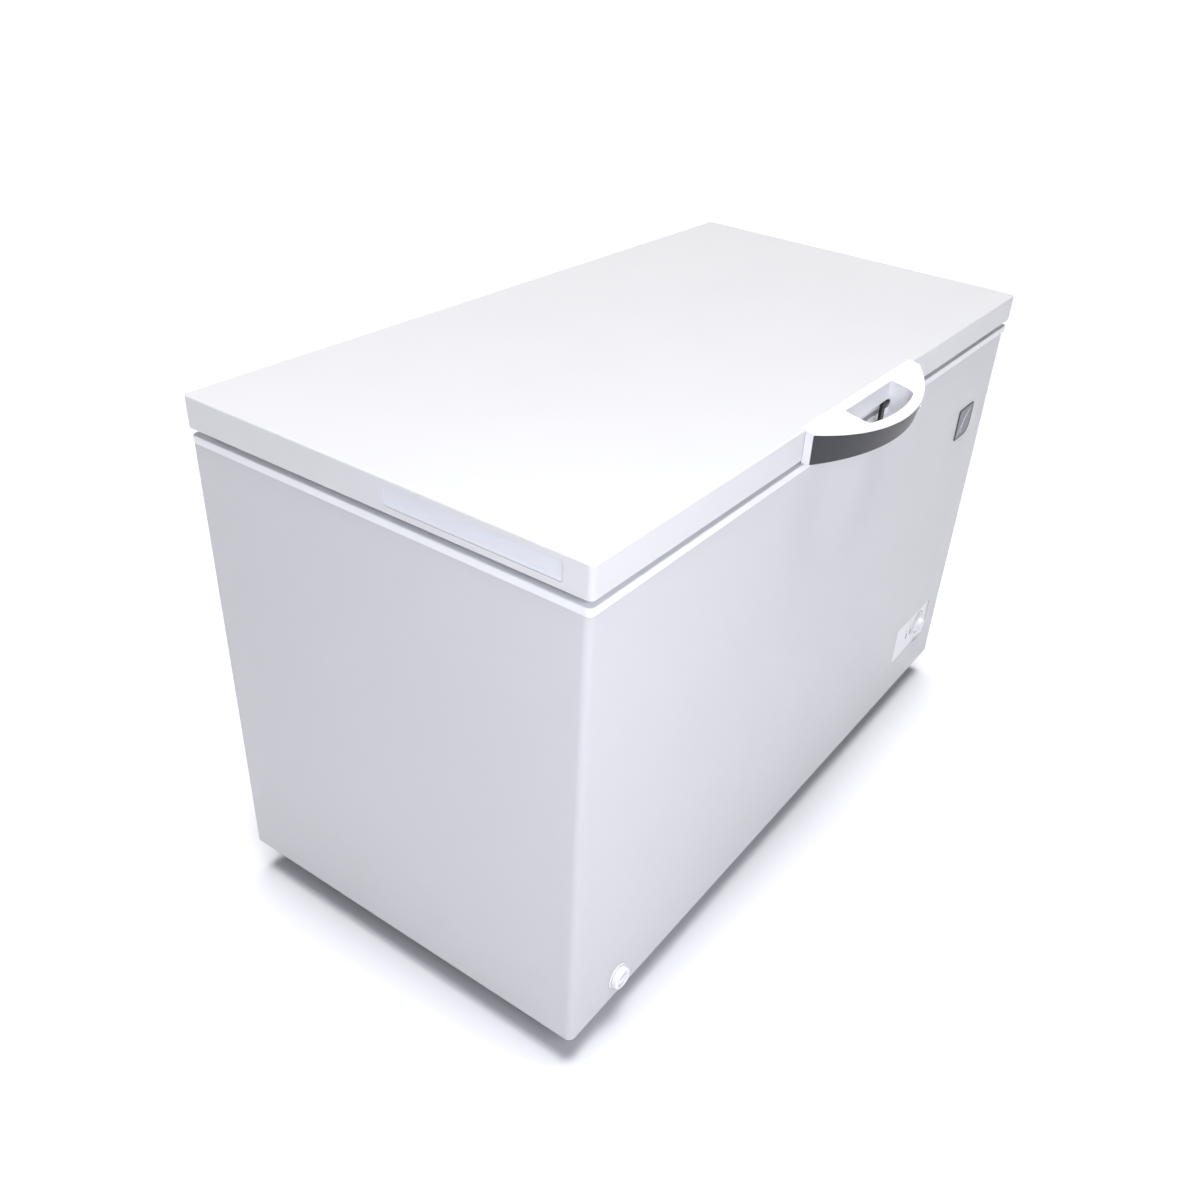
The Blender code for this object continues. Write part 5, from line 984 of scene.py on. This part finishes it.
SPRING_STEEL = metal("oiled_spring_steel", "#8A8C90", 0.37, 3, 0.10)
for side in ("left", "right"):
    pin_low, pin_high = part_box("hinge_pin_" + side)
    x, axis_y, axis_z = centre(pin_low, pin_high)
    start, end, coil = x - 18 * MM, x + 18 * MM, 7.4 * MM
    turns = np.linspace(0, 1, 6 * 20 + 1)
    a = 2 * pi * 6 * turns
    along = start + (end - start) * turns
    wire = np.column_stack((along, axis_y - coil * np.cos(a), axis_z - coil * np.sin(a)))
    down = [(start, axis_y - coil, wrap_high.z - 12 * MM), (start, axis_y - coil, axis_z - 2 * MM)]
    up = [(end, axis_y - coil, axis_z + 2 * MM), (end, axis_y - coil, axis_z + 17 * MM)]
    wire = tube(np.concatenate((down, wire, up)), 0.9 * MM, 10)
    spring = piece("torsion_spring_" + side, wire, SPRING_STEEL, None, ["hinge_spring_" + side])
    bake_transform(spring)
    bracket_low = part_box("hinge_body_bracket_" + side)[0]
    spots = [(x + u, bracket_low.y + 2.4 * MM, bracket_low.z + v) for u in (-16 * MM, 16 * MM)
             for v in (12 * MM, 46 * MM, 80 * MM)]
    bolts = at_spots(screw_head(4.4 * MM, 2.6 * MM), "back", spots)
    piece("hinge_bolts_" + side, bolts, ZINC, "cabinet")
    spots = [(x + u, lid_high.y + 2.2 * MM, lid_high.z - 10.5 * MM) for u in (-15 * MM, 0.0, 15 * MM)]
    bolts = at_spots(screw_head(3.4 * MM, 1.8 * MM), "back", spots)
    piece("lid_hinge_bolts_" + side, bolts, ZINC, "lid")

# ---- Basket -------------------------------------------------------------------------
# Hanging basket of welded steel wire, dipped in white polyethylene: heavy rims, thin
# uprights that pass under the floor, and level wires. Two end hooks rest on the ledge.
DIPPED = moulding("white_dipped_wire", "#E9E9E6", 0.38, 1.5)
basket_low, basket_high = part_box("wire_basket")
HEAVY, FINE = 2.6 * MM, 1.4 * MM
x0, x1 = basket_low.x + HEAVY, basket_high.x - HEAVY
hang = 20 * MM
y0, y1 = basket_low.y + hang + HEAVY, basket_high.y - hang - HEAVY
z1, z0 = basket_high.z - HEAVY, basket_low.z + FINE + 1 * MM
taper = 10 * MM


def level_wire(z, radius, inset, bend):
    """Closed level wire round the basket."""
    shape = [(x0 + inset, y0 + inset, z), (x1 - inset, y0 + inset, z), (x1 - inset, y1 - inset, z),
             (x0 + inset, y1 - inset, z)]
    return tube(bent(shape, bend, 7, closed=True), radius, 10, closed=True)


wires = [level_wire(z1, HEAVY, 0.0, 26 * MM)]
for share in (0.26, 0.5, 0.74, 1.0):
    drop = (z1 - z0) * share
    wires.append(level_wire(z1 - drop, FINE if share < 1 else 1.8 * MM, taper * share + FINE, 24 * MM))
for y in np.linspace(y0 + 30 * MM, y1 - 30 * MM, 19):
    u_wire = [(x0 + 1.2 * MM, y, z1), (x0 + taper, y, z0), (x1 - taper, y, z0), (x1 - 1.2 * MM, y, z1)]
    wires.append(tube(bent(u_wire, 12 * MM, 6), FINE, 8))
for x in np.linspace(x0 + 30 * MM, x1 - 30 * MM, 8):
    u_wire = [(x, y0 + 1.2 * MM, z1), (x, y0 + taper, z0 + 2.2 * FINE), (x, y1 - taper, z0 + 2.2 * FINE),
              (x, y1 - 1.2 * MM, z1)]
    wires.append(tube(bent(u_wire, 12 * MM, 6), FINE, 8))
for y, out in ((y0, -hang), (y1, hang)):
    left, right = x0 + 34 * MM, x1 - 34 * MM
    hook_wire = [(left, y, z1), (left, y + out, z1), (right, y + out, z1), (right, y, z1)]
    wires.append(tube(bent(hook_wire, 9 * MM, 6), HEAVY, 10))
    middle_x = (x0 + x1) / 2
    inner_y = y - np.sign(out) * 3.4 * MM
    grab = [(middle_x - 46 * MM, inner_y, z1 - 1 * MM), (middle_x - 46 * MM, inner_y, z1 - 30 * MM),
            (middle_x + 46 * MM, inner_y, z1 - 30 * MM), (middle_x + 46 * MM, inner_y, z1 - 1 * MM)]
    wires.append(tube(bent(grab, 10 * MM, 6), 2.0 * MM, 10))
piece("hanging_basket", joined(*wires), DIPPED, "basket", ["wire_basket"])

# ---- Casters ------------------------------------------------------------------------
# Four light swivel casters: a stamped plate with a ball race, a zinc fork, and a grey
# rubber tread over a nylon hub, on a riveted axle. The tread is scuffed and dusty.
RUBBER, tree, shader, place = finish("grey_tread_rubber", "#4A4B4E", 0.70)
scuff = ranged(tree, noise(tree, place, 160.0, 6.0), 0.0, 1.0, 0.45, 0.75)
tint(tree, shader, scuff, "#434447", "#7C7A74")
grain(tree, shader, place, 1.5, 0.3, 0.08)
HUB = moulding("pale_grey_nylon", "#A9ABAD", 0.45, 1.0)


def caster(corner):
    """Dresses one caster: plate, race and bolts on the cabinet, the fork, then the wheel."""
    plate_low, plate_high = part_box("caster_plate_" + corner)
    x, y = centre(plate_low, plate_high)[:2]
    top = plate_high.z
    half = 24 * MM
    plate = slab((x - half, y - half), (x + half, y + half), 5 * MM, top - 2.2 * MM, top, 0.4 * MM)
    race = turned([(5.6 * MM, plate_low.z), (12.8 * MM, plate_low.z), (14.6 * MM, plate_low.z + 0.8 * MM),
                   (15.0 * MM, plate_low.z + 2.2 * MM), (14.2 * MM, plate_low.z + 3.4 * MM),
                   (16.2 * MM, top - 2.4 * MM), (16.2 * MM, top - 2.0 * MM), (5.6 * MM, top - 2.0 * MM)], 40)
    nut = turned(mm((4.6, 0.0), (4.6, 2.2), (4.0, 2.8), (2.2, 2.9),
                  (2.0, 3.9), (0.3, 4.0)), 6)
    spots = [(x + u, y + v, top - 2.2 * MM) for u in (-18 * MM, 18 * MM) for v in (-18 * MM, 18 * MM)]
    bolts = at_spots(nut, "down", spots)
    plate = joined(plate, facing(race, "up", (x, y, 0)), bolts)
    piece("caster_plate_assembly_" + corner, plate, ZINC, "cabinet", ["caster_plate_" + corner])
    wheel_low, wheel_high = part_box("caster_wheel_" + corner)
    axle = centre(wheel_low, wheel_high)[::2]
    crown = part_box("caster_fork_" + corner)[1].z
    side_plan = np.concatenate(([(x - 15 * MM, crown - 4.8 * MM), (x - 7 * MM, crown - 9 * MM)],
                                arc((axle[0], axle[1]), 7.6 * MM, 195, 355, 14),
                                [(axle[0] + 6.5 * MM, crown - 12 * MM), (x + 15 * MM, crown - 4.8 * MM)]))
    legs = [shell([[(u, y + v + w, z) for u, z in side_plan] for w in (0.0, 1.8 * MM)])
            for v in (-12 * MM, 10.2 * MM)]
    bridge = slab((x - 15.2 * MM, y - 12 * MM), (x + 15.2 * MM, y + 12 * MM), 4 * MM, crown - 5.4 * MM,
                  crown - 0.4 * MM, 0.9 * MM)
    bowl = turned([(0.3 * MM, crown - 0.2 * MM), (4.9 * MM, crown - 0.2 * MM), (4.9 * MM, crown + 4.6 * MM),
                   (0.3 * MM, crown + 4.8 * MM)], 32)
    rivet = turned(mm((3.4, -12.6), (3.4, 12.6)), 24)
    cap = turned(mm((5.0, 0.0), (4.8, 0.6), (3.2, 0.95), (0.3, 1.0)), 24)
    shapes = [*legs, bridge, facing(bowl, "up", (x, y, 0)), facing(rivet, "front", (axle[0], y, axle[1])),
              facing(cap, "front", (axle[0], y - 12 * MM, axle[1])),
              facing(cap, "back", (axle[0], y + 12 * MM, axle[1]))]
    piece("caster_fork_assembly_" + corner, joined(*shapes), ZINC, "swivel_" + corner,
          ["caster_fork_" + corner])
    half_tyre = mm((20.0, 5.6), (19.6, 6.9), (18.6, 7.6), (14.8, 7.0))
    tyre = turned([*half_tyre[::-1] * (1, -1), *half_tyre], 56, ring=True)
    spot = (axle[0], y, axle[1])
    piece("caster_tyre_" + corner, facing(tyre, "front", spot), RUBBER, "wheel_" + corner,
          ["caster_wheel_" + corner])
    half_core = mm((14.9, 6.9), (13.0, 6.6), (12.2, 3.0), (7.0, 3.0), (6.6, 7.2), (6.2, 7.8), (3.8, 7.8))
    core = turned([*half_core[::-1] * (1, -1), *half_core], 56, ring=True)
    along = [np.array((cos(i * pi / 3), sin(i * pi / 3))) for i in range(6)]
    spokes = [bar(way * 6.4 * MM, way * 13.4 * MM, 0.9 * MM, -6.2 * MM, 6.2 * MM) for way in along]
    piece("caster_hub_" + corner, facing(joined(core, *spokes), "front", spot), HUB, "wheel_" + corner)


for corner in ("front_left", "front_right", "rear_left", "rear_right"):
    caster(corner)

# ---- Machine compartment ------------------------------------------------------------
# Behind the louvres: a black hermetic compressor on rubber grommets, its terminal cover,
# brazed copper pipes with a filter drier, and a loom to the relay, all a little dusty.
can_low, can_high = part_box("compressor")
can = centre(can_low, can_high)[:2]
rail_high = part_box("compressor_mount_plate")[1]
LOOM = moulding("black_loom_pvc", "#141416", 0.50, 1.0)
grommet = turned(mm((9.5, 0.0), (10, 1), (10, 4.5), (8.0, 6), (8.0, 9),
                  (9.5, 10), (9.5, 13), (8.5, 14), (0.3, 14)), 32)
feet = [(can[0] + u, can[1] + v, rail_high.z) for u in (-84 * MM, 84 * MM) for v in (-52 * MM, 52 * MM)]
piece("compressor_grommets", at_spots(grommet, "up", feet), LOOM, "cabinet")
legs = [bar(*(np.array(can) + mm((44, 40), (92, 58)) * (u, v)), 11 * MM, rail_high.z + 6.2 * MM,
            rail_high.z + 8.6 * MM) for u in (-1, 1) for v in (-1, 1)]
piece("compressor_feet", joined(*legs), BLACK_ENAMEL, "cabinet")
studs = [(x, y, z + 13.8 * MM) for x, y, z in feet]
stud = turned(mm((7, 0.0), (7, 1.2), (4.4, 1.3), (4.4, 5.2), (2.6, 5.4),
               (2.4, 8.5), (0.3, 8.8)), 24)
piece("compressor_studs", at_spots(stud, "up", studs), ZINC, "cabinet")
COPPER = metal("drawn_copper", "#B8734F", 0.37, 5, 0.16)
drier_x, drier_y = can[0] - 118 * MM, can[1] - 70 * MM
drier = turned(mm((1.4, 0.0), (1.6, 8), (4, 13), (8.4, 18), (9.2, 22),
                (9.2, 88), (8.4, 92), (4, 97), (2.4, 101),
                (2.2, 110)), 32)
drier_z = rail_high.z + 20 * MM
shell_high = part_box("compartment_shell")[1]
foot = (drier_x, drier_y, drier_z)
capillary = [*(mm((0, 0, 3), (0, 0, -8), (26, -20, -8)) + foot),
             (drier_x + 26 * MM, drier_y - 20 * MM, shell_high.z - 6 * MM)]
inlet = bent([(drier_x, drier_y, drier_z + 108 * MM), (drier_x, drier_y, shell_high.z - 6 * MM)], 5 * MM)
drier = joined(facing(drier, "up", foot), tube(bent(capillary, 7 * MM, 6), 1.0 * MM, 8),
               tube(inlet, 3.0 * MM, 12))
piece("filter_drier", drier, COPPER, "cabinet")
relay_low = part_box("start_relay_box")[0]
switch_low, switch_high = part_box("thermostat_body")
loom = [*(mm((12, 4, 8), (12, -26, 6)) + relay_low),
        (relay_low.x + 30 * MM, relay_low.y - 90 * MM, rail_high.z + 8 * MM),
        *(mm((12, 60, 30), (-10, 20, 18), (-10, -4, 18)) + (switch_high.x, switch_high.y, switch_low.z))]
piece("switch_loom", tube(bent(loom, 14 * MM, 8), 3.2 * MM, 12), LOOM, "cabinet")

# ---- Finishes of the plain pieces ---------------------------------------------------
# These pieces keep their shape and only take the finish of their real material: foamed
# insulation, embossed aluminium lining, galvanised sheet, copper, black steel and nylon.
FOAM, tree, shader, place = finish("polyurethane_foam", "#D9C48C", 0.90)
tint(tree, shader, noise(tree, place, 12.0, 3.0), "#D2BB80", "#E0CE9B")
cells = add(tree, "ShaderNodeTexVoronoi", {"Vector": place, "Scale": 700.0})
emboss(tree, shader, cells.outputs["Distance"], 0.4, 0.4)

STUCCO, tree, shader, place = finish("stucco_aluminium", "#D3D6DA", 0.30, 1.0)
pebbles = add(tree, "ShaderNodeTexVoronoi", {"Vector": place, "Scale": 260.0}, feature="SMOOTH_F1")
emboss(tree, shader, pebbles.outputs["Distance"], 0.55, 0.5)
tree.links.new(ranged(tree, noise(tree, place, 5.0, 3.0), 0.29, 0.41), shader.inputs["Roughness"])

GALVANISED, tree, shader, place = finish("galvanised_sheet", "#8F9294", 0.42, 1.0)
spangle = add(tree, "ShaderNodeTexVoronoi", {"Vector": place, "Scale": 150.0})
shade = add(tree, "ShaderNodeSeparateColor", {0: spangle.outputs["Color"]})
tint(tree, shader, shade.outputs[0], "#8A8D8F", "#989B9D")
tree.links.new(ranged(tree, shade.outputs[1], 0.40, 0.50), shader.inputs["Roughness"])

GREY_ABS = moulding("grey_abs", "#8C8F92", 0.48)
BRACKETS = [f"hinge_{part}_bracket_{side}" for part in ("body", "lid") for side in ("left", "right")]
KEPT = {FOAM: ["body_foam", "lid_foam"],
        STUCCO: ["inner_liner", "liner_floor"],
        GALVANISED: ["back_panel", "base_pan", "compartment_shell"],
        ZINC: [*BRACKETS, "hinge_pin_left", "hinge_pin_right", "lock_cam"],
        COPPER: ["evaporator_tube", "condenser_tube", "discharge_pipe", "suction_pipe"],
        BLACK_ENAMEL: ["compressor", "compressor_mount_plate"],
        NYLON: ["start_relay_box", "cord_gland"],
        GREY_ABS: ["drain_tube", "thermostat_body"]}
ROUNDED = [*BRACKETS, *KEPT[STUCCO], "lock_cam", "compressor_mount_plate", "thermostat_body", "cord_gland"]
for material, names in KEPT.items():
    for name in names:
        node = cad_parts[name]
        for holder in node.material_slots:
            holder.link = "OBJECT"
            holder.material = material
        if name in ROUNDED:
            soften(node, 0.4 * MM, 40)
